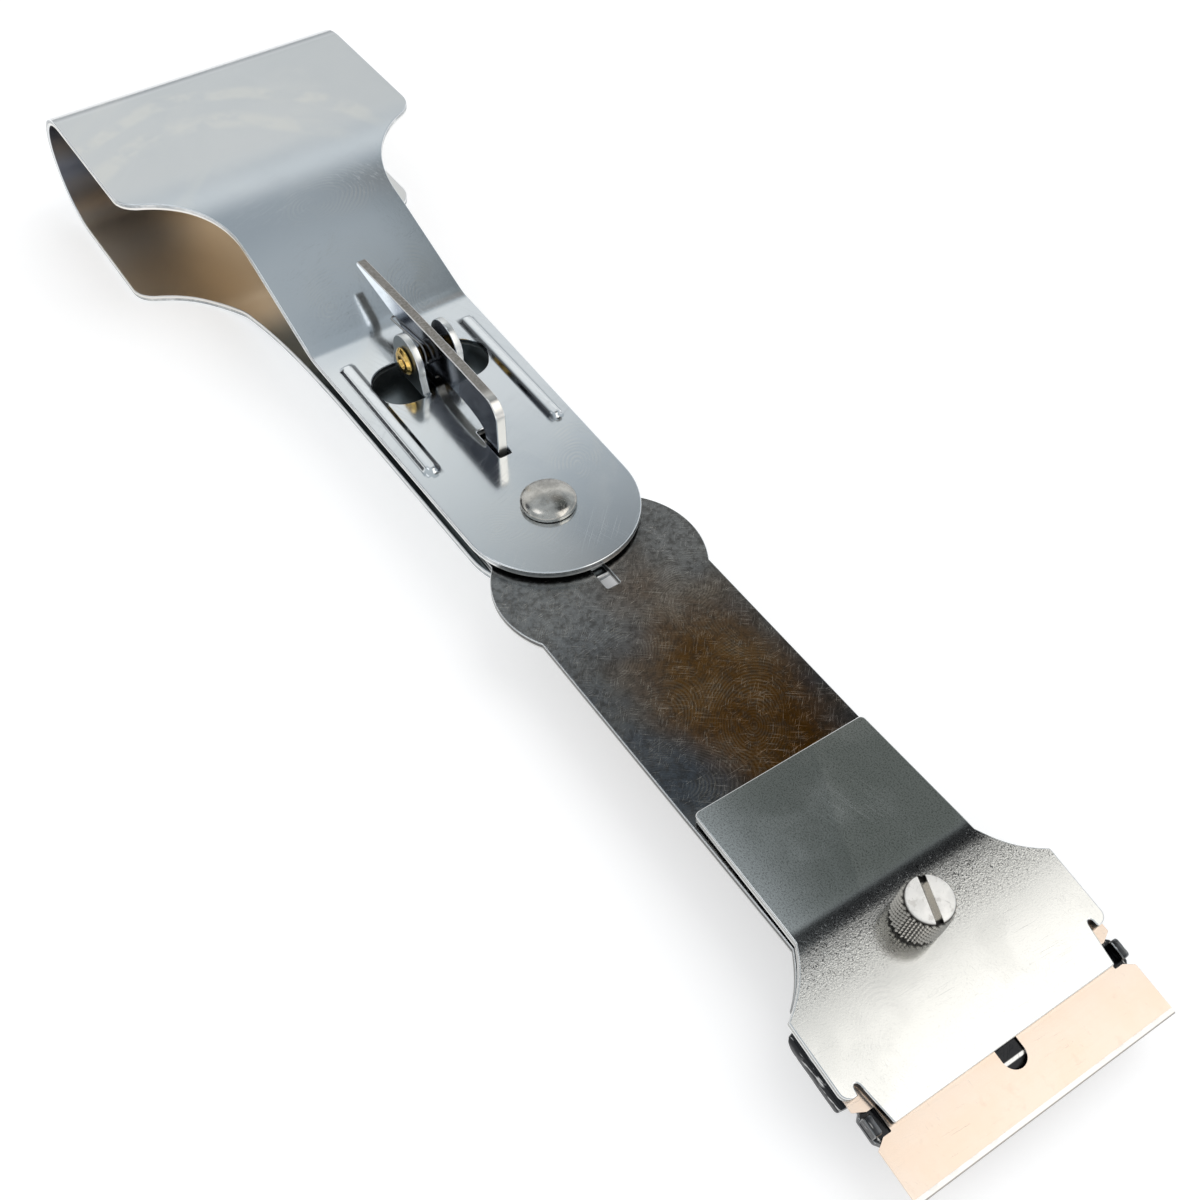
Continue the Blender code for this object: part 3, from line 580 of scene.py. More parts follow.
# the lock lever and its pin
leverSizes = Sizes(thickness=1.6, height=9.2, nose=3.0, front=12.7, tail=56.5, tailDrop=1.3, tip=0.5, tailDepth=3.25,
                   bodyRear=7.0, neck=1.6, arch=2.2, clearance=0.9, pawl=3.8, boss=3.1, gap=0.3, hole=1.6, edge=0.15)
pinSizes = Sizes(radius=1.3, bore=0.7, headRadius=2.3, headHeight=0.7, seat=0.15)
pinPlace = Vector((earSizes.pinX, 0, earSizes.pinZ))


def leverOutline():  # seen from the right, about the pin
    s = leverSizes
    front = -pinPlace.x - s.front
    tail = -pinPlace.x - s.tail + s.tip
    foot = armTop + s.gap - pinPlace.z
    under = s.clearance - pinPlace.z
    top = s.height - pinPlace.z
    pawlRear, ridge, low = front - s.pawl, front - s.nose, top - s.tailDrop
    line = [(pawlRear, foot), (front - 0.4, foot), (front, foot + 0.4)]
    line += arc((ridge, top - s.nose), s.nose, 0, 90, 16)
    line += [(ridge - (ridge - tail) * i / 24, top - s.tailDrop * (i / 24) ** 2) for i in range(1, 25)]
    line += arc((tail, low - s.tip), s.tip, 110, 230, 8)
    line += arc((-s.bodyRear - s.neck, low - s.tailDepth - s.neck), s.neck, 80, 10, 10)
    line += arc((-s.bodyRear + 1.0, under + 1.0), 1.0, 180, 270, 8)
    crown = (pawlRear - s.boss) / 2
    line += hump(s.boss + crown, under, -crown, s.arch, 0.75, 24)
    return softened(line, 0.3, least=20.0)


def pinProfile():
    p = pinSizes
    seat = earSizes.inner + sheet + p.seat
    face = seat + p.headHeight
    half = [(p.bore, face - 0.45), (p.bore + 0.35, face), (p.headRadius - 0.5, face),
            (p.headRadius, face - 0.42), (p.headRadius, seat), (p.radius, seat)]
    return softened(half + [(radius, -height) for radius, height in reversed(half)], 0.22)


lever = Shell().press(finerLoop(leverOutline(), 1.5), [ringLoop(0, leverSizes.hole, 36)],
                      lambda u, v, depth: pinPlace + Vector((u, depth - leverSizes.thickness / 2, v)),
                      leverSizes.thickness, leverSizes.edge).piece("lockLever")
pin = Shell().turn(pinProfile(), 48, lambda spot: pinPlace + Vector((spot.x, spot.z, -spot.y)), True).piece("leverPin")


def operate(operation, swapped=False):
    def method(self, other):
        return self.graph.calc(operation, *((other, self) if swapped else (self, other)))
    return method


class Flow:  # a node's output, which can stand in sums
    def __init__(self, graph, socket):
        self.graph, self.socket = graph, socket

    __add__, __radd__ = operate("ADD"), operate("ADD", True)
    __sub__, __rsub__ = operate("SUBTRACT"), operate("SUBTRACT", True)
    __mul__, __truediv__ = operate("MULTIPLY"), operate("DIVIDE")


class Graph:  # makes the nodes of one tree
    def __init__(self, tree):
        self.tree = tree

    def make(self, kind, sockets=None, **settings):
        made = self.tree.nodes.new(kind)
        for key, value in settings.items():
            setattr(made, key, value)
        self.feed(made, sockets or {})
        return made

    def node(self, kind, sockets=None, out=0, **settings):
        return Flow(self, self.make(kind, sockets, **settings).outputs[out])

    def feed(self, made, sockets):  # by links or by plain values
        for key, value in sockets.items():
            if isinstance(value, Flow):
                self.tree.links.new(made.inputs[key], value.socket)
            else:
                made.inputs[key].default_value = value

    def calc(self, operation, first, second=0.0):
        return self.node("ShaderNodeMath", {0: first, 1: second}, operation=operation)

    def vector(self, operation, sockets, out=0):
        return self.node("ShaderNodeVectorMath", sockets, out, operation=operation)


class Tree(Graph):  # a geometry tree with named inputs
    kinds = {int: "NodeSocketInt", float: "NodeSocketFloat", type(None): "NodeSocketMaterial"}

    def __init__(self, name, inputs):
        super().__init__(bpy.data.node_groups.new(name, "GeometryNodeTree"))
        face = self.tree.interface
        self.keys = {}
        face.new_socket("Geometry", in_out="INPUT", socket_type="NodeSocketGeometry")
        for label, value in inputs.items():
            made = face.new_socket(label, in_out="INPUT", socket_type=self.kinds[type(value)])
            made.default_value = value
            self.keys[label] = made.identifier
        face.new_socket("Geometry", in_out="OUTPUT", socket_type="NodeSocketGeometry")
        self.start, self.end = self.make("NodeGroupInput"), self.make("NodeGroupOutput")

    def given(self, label):
        return Flow(self, self.start.outputs[label])

    def finish(self, shape):
        plain = self.node("GeometryNodeRealizeInstances", {"Geometry": shape})
        done = self.node("GeometryNodeSetMaterial", {"Geometry": plain, "Material": self.given("Finish")})
        self.feed(self.end, {0: done})
        return self

    def run(self, holder, name, values):  # a plain mesh from the tree, with its holder gone
        step = holder.modifiers.new("tree", "NODES")
        step.node_group = self.tree
        for label, value in values.items():
            step[self.keys[label]] = value
        made = linked(name, evaluated(holder))
        bpy.data.objects.remove(holder, do_unlink=True)
        return made


def wireTree():  # round wire along a path
    tree = Tree("wireAlongPath", {"Wire Radius": 0.0002, "Sides": 10, "Finish": None})
    ring = tree.node("GeometryNodeCurvePrimitiveCircle",
                     {"Resolution": tree.given("Sides"), "Radius": tree.given("Wire Radius")})
    return tree.finish(tree.node("GeometryNodeCurveToMesh",
                                 {"Curve": tree.given("Geometry"), "Profile Curve": ring, "Fill Caps": True}))


def knurlTree():  # rows of small pyramids round a cylinder along Z
    tree = Tree("diamondKnurl", {"Count": 26, "Rows": 13, "Radius": 0.003, "Row Step": 0.0004, "Start": 0.0,
                                 "Stud Half": 0.0004, "Stud Height": 0.0003, "Finish": None})
    count, rows, radius, rowStep, start, half, height, _ = (tree.given(label) for label in tree.keys)
    number = tree.node("GeometryNodeInputIndex")
    row = tree.calc("FLOOR", (number + 0.5) / count)
    column = number - row * count + tree.calc("MODULO", row, 2.0) * 0.5
    angle = column * (2 * pi) / count
    side = tree.node("ShaderNodeCombineXYZ", {"X": tree.calc("COSINE", angle), "Y": tree.calc("SINE", angle)})
    out = tree.vector("SCALE", {"Vector": side, "Scale": radius})
    place = tree.vector("ADD", {0: out, 1: tree.node("ShaderNodeCombineXYZ", {"Z": row * rowStep + start})})
    points = tree.node("GeometryNodePoints", {"Count": count * rows, "Position": place})
    stud = tree.node("GeometryNodeMeshCone", {"Vertices": 4, "Radius Top": half * 0.16, "Radius Bottom": half,
                                              "Depth": height}, fill_type="NGON")
    align = "FunctionNodeAlignRotationToVector"
    outward = tree.node(align, {"Vector": side}, axis="Z", pivot_axis="AUTO")
    upright = tree.node(align, {"Rotation": outward, "Vector": (0, 0, 1)}, axis="X", pivot_axis="Z")
    studs = {"Points": points, "Instance": stud, "Rotation": upright}
    return tree.finish(tree.node("GeometryNodeInstanceOnPoints", studs))


def total(flows):
    return sum(flows[1:], flows[0])


def times(colour, factor):
    return tuple(min(1.0, c * factor) for c in colour)


class Paint(Graph):  # one finish, on coordinates from the rivet
    def __init__(self, name, tones, metallic=1.0):
        self.tones = tones
        self.look = bpy.data.materials.new(name)
        self.look.use_nodes = True
        super().__init__(self.look.node_tree)
        self.shader = self.tree.nodes["Principled BSDF"]
        self.feed(self.shader, {"Metallic": metallic})
        spot = self.node("ShaderNodeTexCoord", None, "Object")
        self.place = self.node("ShaderNodeMapping", {"Vector": spot, "Location": -pivot / mm, "Scale": (1 / mm,) * 3})
        self.x, self.y, self.z = self.parts(self.place)
        self.away = self.calc("ABSOLUTE", self.y)  # from the middle plane
        rim, self.under = (self.node("ShaderNodeAttribute", None, "Fac", attribute_name=n) for n in ("rim", "under"))
        self.wall = self.range(rim, 0.8, 0.97)  # the sheared wall of a sheet
        self.rim = self.range(rim, 0.02, 0.25) - self.wall  # the rounded line beside it
        self.burnish = self.wall * self.range(self.under, 0.55, 0.75)  # bright lower part of a wall
        self.shear = self.wall - self.burnish

    def tone(self, colour):  # a flow, a named tone or a plain colour
        return colour if isinstance(colour, Flow) else (*self.tones.get(colour, colour), 1.0)

    def parts(self, spot):
        return [Flow(self, out) for out in self.make("ShaderNodeSeparateXYZ", {0: spot}).outputs]

    def range(self, value, low, high):
        return self.node("ShaderNodeMapRange", {0: value, 1: low, 2: high}, interpolation_type="SMOOTHSTEP")

    def band(self, value, *ends):  # 1 within its pairs of ends
        flows = [self.range(value, low, high) for low, high in zip(ends[::2], ends[1::2])]
        return prod(flows[1:], start=flows[0])

    def zone(self, **spans):  # a band of each coordinate named
        flows = [self.band(getattr(self, label), *ends) for label, ends in spans.items()]
        return prod(flows[1:], start=flows[0])

    def blend(self, part, first, second):
        return self.node("ShaderNodeMix", {0: part, 6: self.tone(first), 7: self.tone(second)}, 2, data_type="RGBA")

    def start(self, part, first, second):
        self.colour = self.blend(part, first, second)

    def over(self, part, colour):  # one more layer of colour
        self.start(part, self.colour, colour)

    def mapped(self, location, scale, rotation=(0, 0, 0)):
        return self.node("ShaderNodeMapping", {"Vector": self.place, "Location": location, "Rotation": rotation,
                                               "Scale": scale}, vector_type="TEXTURE")

    def cloud(self, size, detail=3.0, rough=0.6, shift=0.0, stretch=(1, 1, 1), turn=0.0):
        spot = self.mapped([shift * size * k for k in (1, 1.7, 0.6)], [size / s for s in stretch], (0, 0, turn))
        return self.node("ShaderNodeTexNoise", {"Vector": spot, "Scale": 1.0, "Detail": detail, "Roughness": rough})

    def spots(self, low, high, *cloud):
        return self.range(self.cloud(*cloud), low, high)

    def oval(self, x, y, wide, deep, turn=0.0):  # distance from a point in shares of an oval, and the place in it
        spot = self.mapped((x, y, 0), (wide, deep, 1000), (0, 0, turn))
        return self.vector("LENGTH", {0: spot}, 1), spot

    def scratches(self, *ways):  # fine straight lines: turn, width, length, share and shift of each way
        made = []
        for turn, width, length, part, shift in ways:
            lines = self.cloud(1.0, 2.0, 0.5, shift, (1 / length, 1 / width, 0.4 / width), turn)
            broken = self.spots(0.42, 0.66, length * 0.7, 2.0, 0.6, shift + 9.0)
            made.append(self.range(lines, part, part + 0.1) * broken)
        return total(made)

    def handPrints(self, ridge, *places):  # ridges of fingers in ovals: x, y, turn and size of each
        prints, ovals = [], []
        for x, y, turn, size in places:
            reach, spot = self.oval(x, y, size * 0.62, size, turn)
            off = self.vector("DISTANCE", {0: spot, 1: (0.1, -0.35, 0)}, 1)
            wave = self.cloud(size * 0.7, 1.0, 0.4, x)
            lines = self.calc("SINE", (off * size + wave * 3.0) * (2 * pi / ridge))
            ovals.append(self.range(reach, 1.0, 0.5) * self.spots(0.22, 0.78, size * 0.35, 2.0, 0.5, y))
            prints.append((lines * 0.5 + 0.5) * ovals[-1])
        return total(prints), total(ovals)

    def finish(self, rough, height, depth, strength=0.5):
        bump = self.node("ShaderNodeBump", {"Strength": strength, "Distance": depth * mm, "Height": height})
        self.feed(self.shader, {"Base Color": self.colour, "Roughness": rough + self.tones["rough"], "Normal": bump})
        return self.look

    def matt(self, base, glow=(0, 0, 0)):  # a dull surface that may give light
        self.feed(self.shader, {"Base Color": self.tone(base), "Roughness": 0.9, "Specular IOR Level": 0.0,
                                "Emission Color": self.tone(glow), "Emission Strength": 1.0})
        return self.look


handleTones = {"cool": (0.6, 0.645, 0.68), "pale": (0.7, 0.73, 0.75), "rear": (0.68, 0.685, 0.675),
               "gripFrontShade": (0.52, 0.56, 0.595), "bright": (0.8, 0.825, 0.83), "smear": (0.8, 0.79, 0.74),
               "line": (0.86, 0.87, 0.87), "brownStainAndReflection": (0.96, 0.81, 0.62), "clean": (0.8, 0.79, 0.77),
               "gap": (0.15, 0.175, 0.185), "deep": (0.14, 0.15, 0.19), "ear": (0.03, 0.03, 0.034),
               "sheared": (0.06, 0.062, 0.066), "rim": (0.92, 0.94, 0.95), "wallGlint": (0.92, 0.92, 0.9),
               "burnish": (0.88, 0.88, 0.86), "rough": 0.11}


def platedSteel():
    paint = Paint("platedSteel", handleTones)
    cloud = paint.cloud(26, 3, 0.5)
    fine = paint.cloud(0.5)
    lines = paint.scratches((0.35, 0.09, 26, 0.62, 0), (-0.8, 0.08, 18, 0.63, 3), (1.9, 0.08, 20, 0.64, 7))
    prints, greasy = paint.handPrints(0.78, (-58, -3, 0.5, 13), (-54, 8, 1.3, 10), (-75, 4, 0.2, 12),
                                      (-104, 12, 1.2, 11), (1, -5, -0.4, 11), (-7, 9, 1, 9))
    wiped = paint.spots(0.56, 0.72, 9, 3, 0.6, 4, (1, 0.22, 1), 0.9)
    swept = paint.oval(-80, -12, 27, 27)[0] + cloud * 0.35
    smear = paint.band(swept, 0.98, 1.06, 1.22, 1.12) + paint.band(swept, 1.3, 1.36, 1.5, 1.42)
    smear *= paint.zone(x=(-84, -92)) * paint.spots(0.36, 0.6, 6, 3, 0.6, 3)
    paint.start(paint.range(cloud, 0.35, 0.65), "cool", "pale")
    paint.over(paint.zone(x=(-82, -94)) * 0.6, "rear")
    # painted shade across the grip's front, toning down a reflected band there
    paint.over(paint.zone(x=(-64, -74, -92, -84)) * 0.55, "gripFrontShade")
    # painted highlight: a brighter band on the leaf's -Y side ahead of the ears
    paint.over(paint.zone(x=(-48, -40), y=(3, -6)) * 0.7, "bright")
    paint.over(wiped * 0.2 + prints * 0.32 + smear * 0.5, "smear")
    paint.over(lines * 0.32, "line")
    insideStainAndShade = paint.blend(paint.range(paint.y + cloud * 14, 2, 22), "brownStainAndReflection", "clean")  # a brown stain and a painted warm reflection, stronger at one side
    # painted shade on the faces between the leaves, ahead of the loop
    insideStainAndShade = paint.blend(paint.zone(x=(-78, -60)), insideStainAndShade, "gap")
    # painted shade deep in the loop's rear, on the -Y side
    insideStainAndShade = paint.blend(paint.zone(x=(-118, -125), y=(0, -14)), insideStainAndShade, "deep")
    paint.over(paint.under * 0.9, insideStainAndShade)
    raised = paint.zone(z=(0.35, 0.7), away=(5.0, 4.6))  # the two ears
    # painted shade on the ears' inner faces
    paint.over(raised * paint.zone(away=(2.9, 2.82), x=(-46, -44)), "ear")
    top = paint.zone(z=(-0.9, -0.3)) * (1 - paint.under)  # of the upper leaf
    paint.over(top * paint.zone(away=(2.7, 2.3), x=(-46, -43, -29, -32)) * 0.9, "ear")  # painted shade on the leaf between the ears, under the pin
    beads = top * paint.zone(x=(-13.6, -15.2, -43.6, -42.2))
    paint.over(beads * paint.zone(away=(9.3, 9.7, 10.5, 10.1)) * 0.85, "sheared")  # painted shade along their inner sides
    # painted highlight on their crowns and outer sides
    paint.over(beads * paint.zone(away=(10.4, 10.8, 12.3, 11.7)) * 0.6, "rim")
    # painted highlight along the rounded edges
    paint.over(paint.rim * 0.8, "rim")
    # painted glints, broken along the sheared walls
    wallGlints = paint.spots(0.35, 0.75, 5, 4, 0.7, 6) * 0.6
    sheared = paint.blend(wallGlints, paint.blend(fine, "sheared", "cool"), "wallGlint")
    paint.over(paint.shear * (1 - raised) * 0.92, sheared)
    # the lower walls are burnished; the ears' sheared edges are painted bright as a highlight
    paint.over(paint.burnish * 0.85 + paint.shear * raised * 0.9, "burnish")
    rough = cloud * 0.04 + wiped * 0.05 + greasy * 0.03 + lines * 0.1 + paint.wall * 0.1 + paint.under * 0.16
    return paint.finish(rough, fine * 0.35 - lines * 0.8 + prints * 0.25 + cloud * 0.6, 0.012, 0.35)


armTones = {"grey": (0.19, 0.19, 0.186), "blue": (0.105, 0.12, 0.14), "worn": (0.36, 0.36, 0.35),
            "brown": (0.2, 0.102, 0.028), "burnt": (0.165, 0.07, 0.01), "speck": (0.05, 0.044, 0.038),
            "print": (0.4, 0.36, 0.28), "line": (0.52, 0.48, 0.42), "jaw": (0.028, 0.029, 0.031),
            "bright": (0.8, 0.8, 0.79), "rim": (0.88, 0.89, 0.89), "sheared": (0.05, 0.05, 0.05),
            "burnish": (0.8, 0.8, 0.78), "rough": 0.13}


def tangSteel():  # bare rolled strip, handled a lot: prints, wipe marks and a brown stain
    paint = Paint("tangSteel", armTones)
    cloud = paint.cloud(17, 3, 0.55)
    fine = paint.cloud(0.36, 2, 0.6, 2)
    mottle = paint.cloud(0.9, 4, 0.7, 12)
    lines = paint.scratches((0.9, 0.09, 3.6, 0.6, 0), (-0.7, 0.09, 3, 0.61, 5), (2.3, 0.09, 2.6, 0.61, 8),
                            (1.6, 0.08, 2.2, 0.62, 11))
    prints, greasy = paint.handPrints(0.58, (27, -4, 0.3, 12), (43, 4, 0.9, 14), (50, -9, -0.5, 13), (30, 9, 1.9, 12),
                                      (17, -10, 0.7, 10), (38, -8, 0.2, 12), (22, 10, 0.1, 11))
    paint.start(paint.range(cloud, 0.38, 0.62), "grey", "blue")
    paint.over(paint.zone(x=(36, 14)) * (0.4 + paint.range(cloud, 0.35, 0.6) * 0.5), "worn")
    brown = paint.blend(paint.zone(x=(34, 50)), "brown", "burnt")
    paint.over(paint.range(paint.oval(46, 2.5, 38, 15)[0] + cloud * 0.9, 1.45, 0.75), brown)
    paint.over(paint.range(mottle, 0.4, 0.66) * 0.55, "speck")
    paint.over(prints * 0.22, "print")
    paint.over(lines * 0.34, "line")
    # painted shade: the jaw beyond the bend is painted near black
    jaw = paint.zone(x=(78, 82))
    plain = 1 - jaw * 0.9
    # painted glints along the jaw's sides
    jawGlints = paint.spots(0.58, 0.66, 1, 3, 0.6, 7, (0.3, 2.6, 2.6)) * paint.zone(away=(18.2, 18.8))
    paint.over(jaw * (1 - paint.under * 0.7), paint.blend(jawGlints * 0.6, "jaw", "bright"))
    lipHighlight = paint.zone(x=(98.4, 98.55, 98.95, 98.8))  # painted highlight where the jaw's lip starts
    paint.over(lipHighlight * (1 - paint.under) * 0.9, "bright")
    # painted highlight along the rounded edges, left only as glints on the jaw
    paint.over(paint.rim * 0.85 * (1 - jaw * (1 - jawGlints) * 0.7), "rim")
    paint.over(paint.shear * plain * 0.92, paint.blend(fine, "sheared", "grey"))
    paint.over(paint.burnish * plain * 0.8, "burnish")
    rough = cloud * 0.04 + greasy * 0.04 + prints * 0.07 + lines * 0.1 + paint.wall * 0.12 + mottle * 0.03
    return paint.finish(rough, fine * 1.6 + mottle * 0.8 - lines * 1.5 + prints + cloud * 0.4, 0.012, 0.45)


plateTones = {"plain": (0.82, 0.82, 0.795), "dull": (0.74, 0.75, 0.72), "wiped": (0.58, 0.6, 0.59),
              "grain": (0.22, 0.22, 0.21), "line": (0.9, 0.89, 0.86), "speck": (0.03, 0.032, 0.036),
              "glint": (0.98, 0.98, 0.97), "bend": (0.04, 0.041, 0.045), "rim": (0.93, 0.93, 0.92),
              "sheared": (0.06, 0.06, 0.06), "burnish": (0.84, 0.84, 0.82), "slit": (0.012, 0.011, 0.013),
              "rough": 0.11}


def clampSteel():  # bright plate with an orange-peel grain, rubbed along the bend, with painted glints there and a painted shade band on the bend
    paint = Paint("clampSteel", plateTones)
    cloud = paint.cloud(9, 4)
    grain = paint.cloud(0.21, 2, 0.65, 2)
    speck = paint.spots(0.56, 0.66, 0.24, 2, 0.7, 6)
    glint = paint.spots(0.6, 0.68, 0.26, 2, 0.7, 9)
    wiped = paint.spots(0.5, 0.6, 10, 2, 0.5, 5)
    ahead = paint.zone(x=(72, 77))
    lines = paint.scratches((0.25, 0.07, 14, 0.62, 0), (-0.6, 0.06, 10, 0.63, 5), (1.5, 0.06, 9, 0.64, 8))
    prints, greasy = paint.handPrints(0.78, (64, -2, 0.4, 9), (88, -11, 1.1, 8))
    dull = paint.range(cloud, 0.35, 0.65) * 0.7 + wiped * 0.3
    paint.start(dull * (1 - ahead * 0.7), "plain", "dull")
    thumb = paint.range(paint.y + (paint.x - 54.6) * 0.42 + cloud * 3, 7, 6.2)  # one stroke of it
    paint.over(thumb * (1 - ahead) * 0.5, "wiped")
    paint.over(paint.range(grain, 0.48, 0.66) * (1 - ahead) * 0.6, "grain")
    paint.over(lines * 0.12 + prints * 0.06, "line")
    rubbed = paint.zone(x=(74, 76)) * paint.range(paint.x - paint.y * 0.06, 85, 79)
    paint.over(speck * (0.06 + rubbed * 0.9), "speck")
    paint.over(glint * rubbed * 0.8, "glint")
    # painted shade band along the bend
    paint.over(paint.zone(x=(73.6, 75.2, 80, 75.8)) * 0.5, "bend")
    # painted highlight along the rounded edges
    paint.over(paint.rim * 0.8, "rim")
    paint.over(paint.shear * 0.92, paint.blend(grain, "sheared", "dull"))
    paint.over(paint.burnish * 0.8, "burnish")
    # painted shade on the walls of the slits
    paint.over(paint.wall * paint.zone(x=(89, 90), away=(16.9, 17.1, 18.7, 18.5)), "slit")
    rough = wiped * 0.03 + greasy * 0.04 + lines * (0.03 + ahead * 0.09) + ahead * 0.04
    rough += glint * rubbed * 0.12 + paint.wall * 0.12
    return paint.finish(rough, grain * (0.6 + rubbed * 4) - lines * 0.4 + prints * 0.25, 0.005)


bladeTones = {"copper": (0.83, 0.675, 0.552), "pale": (0.86, 0.733, 0.63), "stain": (0.62, 0.46, 0.36),
              "line": (0.92, 0.88, 0.84), "ground": (0.93, 0.92, 0.9), "keen": (0.22, 0.2, 0.18), "rough": 0.22}


def bladeCopper():  # copper-washed strip with a bright ground edge
    paint = Paint("bladeCopper", bladeTones)
    ahead = (paint.x - bendX) * cos(jawPitch) - (paint.z - armTop) * sin(jawPitch)
    cloud = paint.cloud(8, 4)
    rolled = paint.cloud(1, 3, 0.6, 1, (2.4, 0.06, 0.06))
    grinding = paint.cloud(1, 2, 0.5, 4, (0.5, 7, 0.5))
    lines = paint.scratches((0.15, 0.1, 7, 0.68, 0), (1.5, 0.09, 9, 0.68, 4))
    bevel = paint.range(ahead, 29.22, 29.34)
    paint.start(paint.range(cloud, 0.35, 0.65) * 0.7 + rolled * 0.3, "copper", "pale")
    paint.over(paint.spots(0.6, 0.72, 3, 3, 0.6, 8) * 0.16, "stain")
    paint.over(lines * 0.3, "line")
    paint.over(bevel * 0.9 + paint.rim * 0.3, "ground")
    paint.over(paint.range(ahead, 29.8, 29.9) * 0.8, "keen")
    rough = cloud * 0.05 + lines * 0.12 + bevel * 0.08
    return paint.finish(rough, rolled * 0.4 + grinding * bevel * 1.2 - lines * 0.5, 0.01, 0.45)


screwSizes = Sizes(radius=3.3, height=6.5, base=1.9, shank=1.7, foot=-3.2, slotWidth=1.0, slotDepth=1.0,
                   slotTurn=-18.0, count=24, rows=13, studHeight=0.46, plain=0.65)
screwTones = {"bright": (0.97, 0.945, 0.9), "pale": (0.8342, 0.8127, 0.774), "stud": (0.5, 0.475, 0.43),
              "dark": (0.035, 0.032, 0.03), "smudge": (0.34, 0.29, 0.24), "line": (0.2, 0.18, 0.16), "rough": 0.15}


def screwNickel():  # turned end, diamond knurl with dirt in its roots
    s = screwSizes
    paint = Paint("screwNickel", screwTones)
    sideX, sideY, level = paint.parts(paint.mapped(headPlace @ Vector((screwX, 0, 0)), (1, 1, 1), (0, jawPitch, 0)))
    reach = paint.calc("SQRT", sideX * sideX + sideY * sideY)
    cloud = paint.cloud(1.6)
    rings = paint.calc("SINE", (reach + cloud * 0.06) * 34)
    root = paint.band(reach, s.radius - 0.06, s.radius - 0.26, 2.2, 2.5)
    wall = paint.range(level, s.base + s.height - 0.06, s.base + s.height - 0.3)
    lines = paint.scratches((0.5, 0.09, 3, 0.62, 0), (-0.9, 0.08, 2.4, 0.64, 5))
    smudge = paint.spots(0.56, 0.66, 0.9, 3, 0.6, 3) * (1 - wall)
    paint.start(paint.range(cloud, 0.35, 0.65), "bright", "pale")
    # painted shade: the knurled wall is painted darker than the end
    paint.over(wall, "stud")
    paint.over(root * wall * 0.95, "dark")
    paint.over(smudge * 0.3, "smudge")
    paint.over(lines * (1 - wall) * 0.5, "line")
    rough = (1 - wall) * 0.14 + cloud * 0.05 + root * wall * 0.25 + smudge * 0.15
    paint.feed(paint.shader, {"Metallic": 0.4 + wall * 0.6})  # the end is worn matt
    return paint.finish(rough, rings * (1 - wall) * 0.3 + cloud * 0.3 - lines * 0.5, 0.004)


rivetTones = {"dull": (0.42, 0.405, 0.375), "bright": (0.64, 0.615, 0.57), "pit": (0.3, 0.27, 0.23),
              "line": (0.8, 0.78, 0.73), "rough": 0.14}


def struckNickel():  # dull rivet head, hammered and a little tarnished
    paint = Paint("rivetNickel", rivetTones)
    cloud = paint.cloud(2.2, 4)
    pits = paint.spots(0.58, 0.7, 0.5, 3, 0.6, 4)
    lines = paint.scratches((0.6, 0.09, 3, 0.64, 0), (-0.7, 0.08, 2.5, 0.66, 3))
    paint.start(paint.range(cloud, 0.35, 0.65), "dull", "bright")
    paint.over(pits * 0.4, "pit")
    paint.over(lines * 0.4, "line")
    return paint.finish(cloud * 0.1 + pits * 0.12, cloud * 1.2 - pits * 0.5 - lines * 0.5, 0.02)


leverTones = {"dark": (0.21, 0.225, 0.265), "pale": (0.3, 0.32, 0.36), "tail": (0.82, 0.84, 0.86),
              "speck": (0.66, 0.68, 0.74), "torn": (0.2, 0.185, 0.165), "cut": (0.34, 0.32, 0.295),
              "nose": (0.9, 0.87, 0.82), "rim": (0.95, 0.95, 0.94), "line": (0.7, 0.72, 0.74), "rough": 0.12}


def leverSteel():  # polished sides, sheared edges left rough
    paint = Paint("leverSteel", leverTones)
    cloud = paint.cloud(6)
    sheared = paint.cloud(1, 3, 0.65, 2, (4.5, 2.2, 4.5))
    fine = paint.cloud(0.4, 2, 0.6, 5)
    lines = paint.scratches((0, 0.12, 7, 0.66, 0), (0, 0.1, 4, 0.67, 4))
    paint.start(paint.range(cloud, 0.35, 0.65), "dark", "pale")
    paint.over(paint.zone(x=(-42, -47)), "tail")
    paint.over(paint.spots(0.6, 0.68, 0.3, 2, 0.7, 8) * 0.45, "speck")
    edge = paint.blend(paint.range(sheared, 0.35, 0.65), "torn", "cut")
    paint.over(paint.wall, paint.blend(paint.zone(x=(-17.5, -14.5)), edge, "nose"))  # walls paler at the nose
    # painted highlight along the rounded edges
    paint.over(paint.rim * 0.95, "rim")
    paint.over(lines * 0.3, "line")
    rough = cloud * 0.04 + lines * 0.12 + paint.wall * 0.14
    return paint.finish(rough, fine * 0.3 + sheared * paint.wall * 0.8 - lines * 0.5, 0.008)


def wornMetal(name, colour, rough, tarnish, shaded=0.0):  # small turned or wound parts
    paint = Paint(name, {"rough": rough})
    cloud = paint.cloud(1.8, 4)
    spots = paint.spots(0.55, 0.68, 0.8, 3, 0.6, 7)
    lines = paint.scratches((0.2, 0.08, 2.5, 0.65, 0), (1.4, 0.08, 2, 0.66, 5))
    paint.start(paint.range(cloud, 0.32, 0.68), times(colour, 0.86), colour)
    paint.over(spots * 0.45, tarnish)
    paint.over(lines * 0.3 + paint.rim * 0.3, times(colour, 1.3))
    if shaded:  # painted shade on the shaft between the ears
        paint.over(paint.zone(away=(shaded, shaded - 0.1)) * 0.92, times(tarnish, 0.12))
    height = paint.cloud(0.6, 3, 0.6, 2) * 0.5 - lines * 0.5
    return paint.finish(cloud * 0.08 + spots * 0.12 + lines * 0.1, height, 0.01, 0.4)


screwLook = screwNickel()
springLook = wornMetal("springSteel", (0.52, 0.52, 0.52), 0.24, (0.3, 0.24, 0.18))


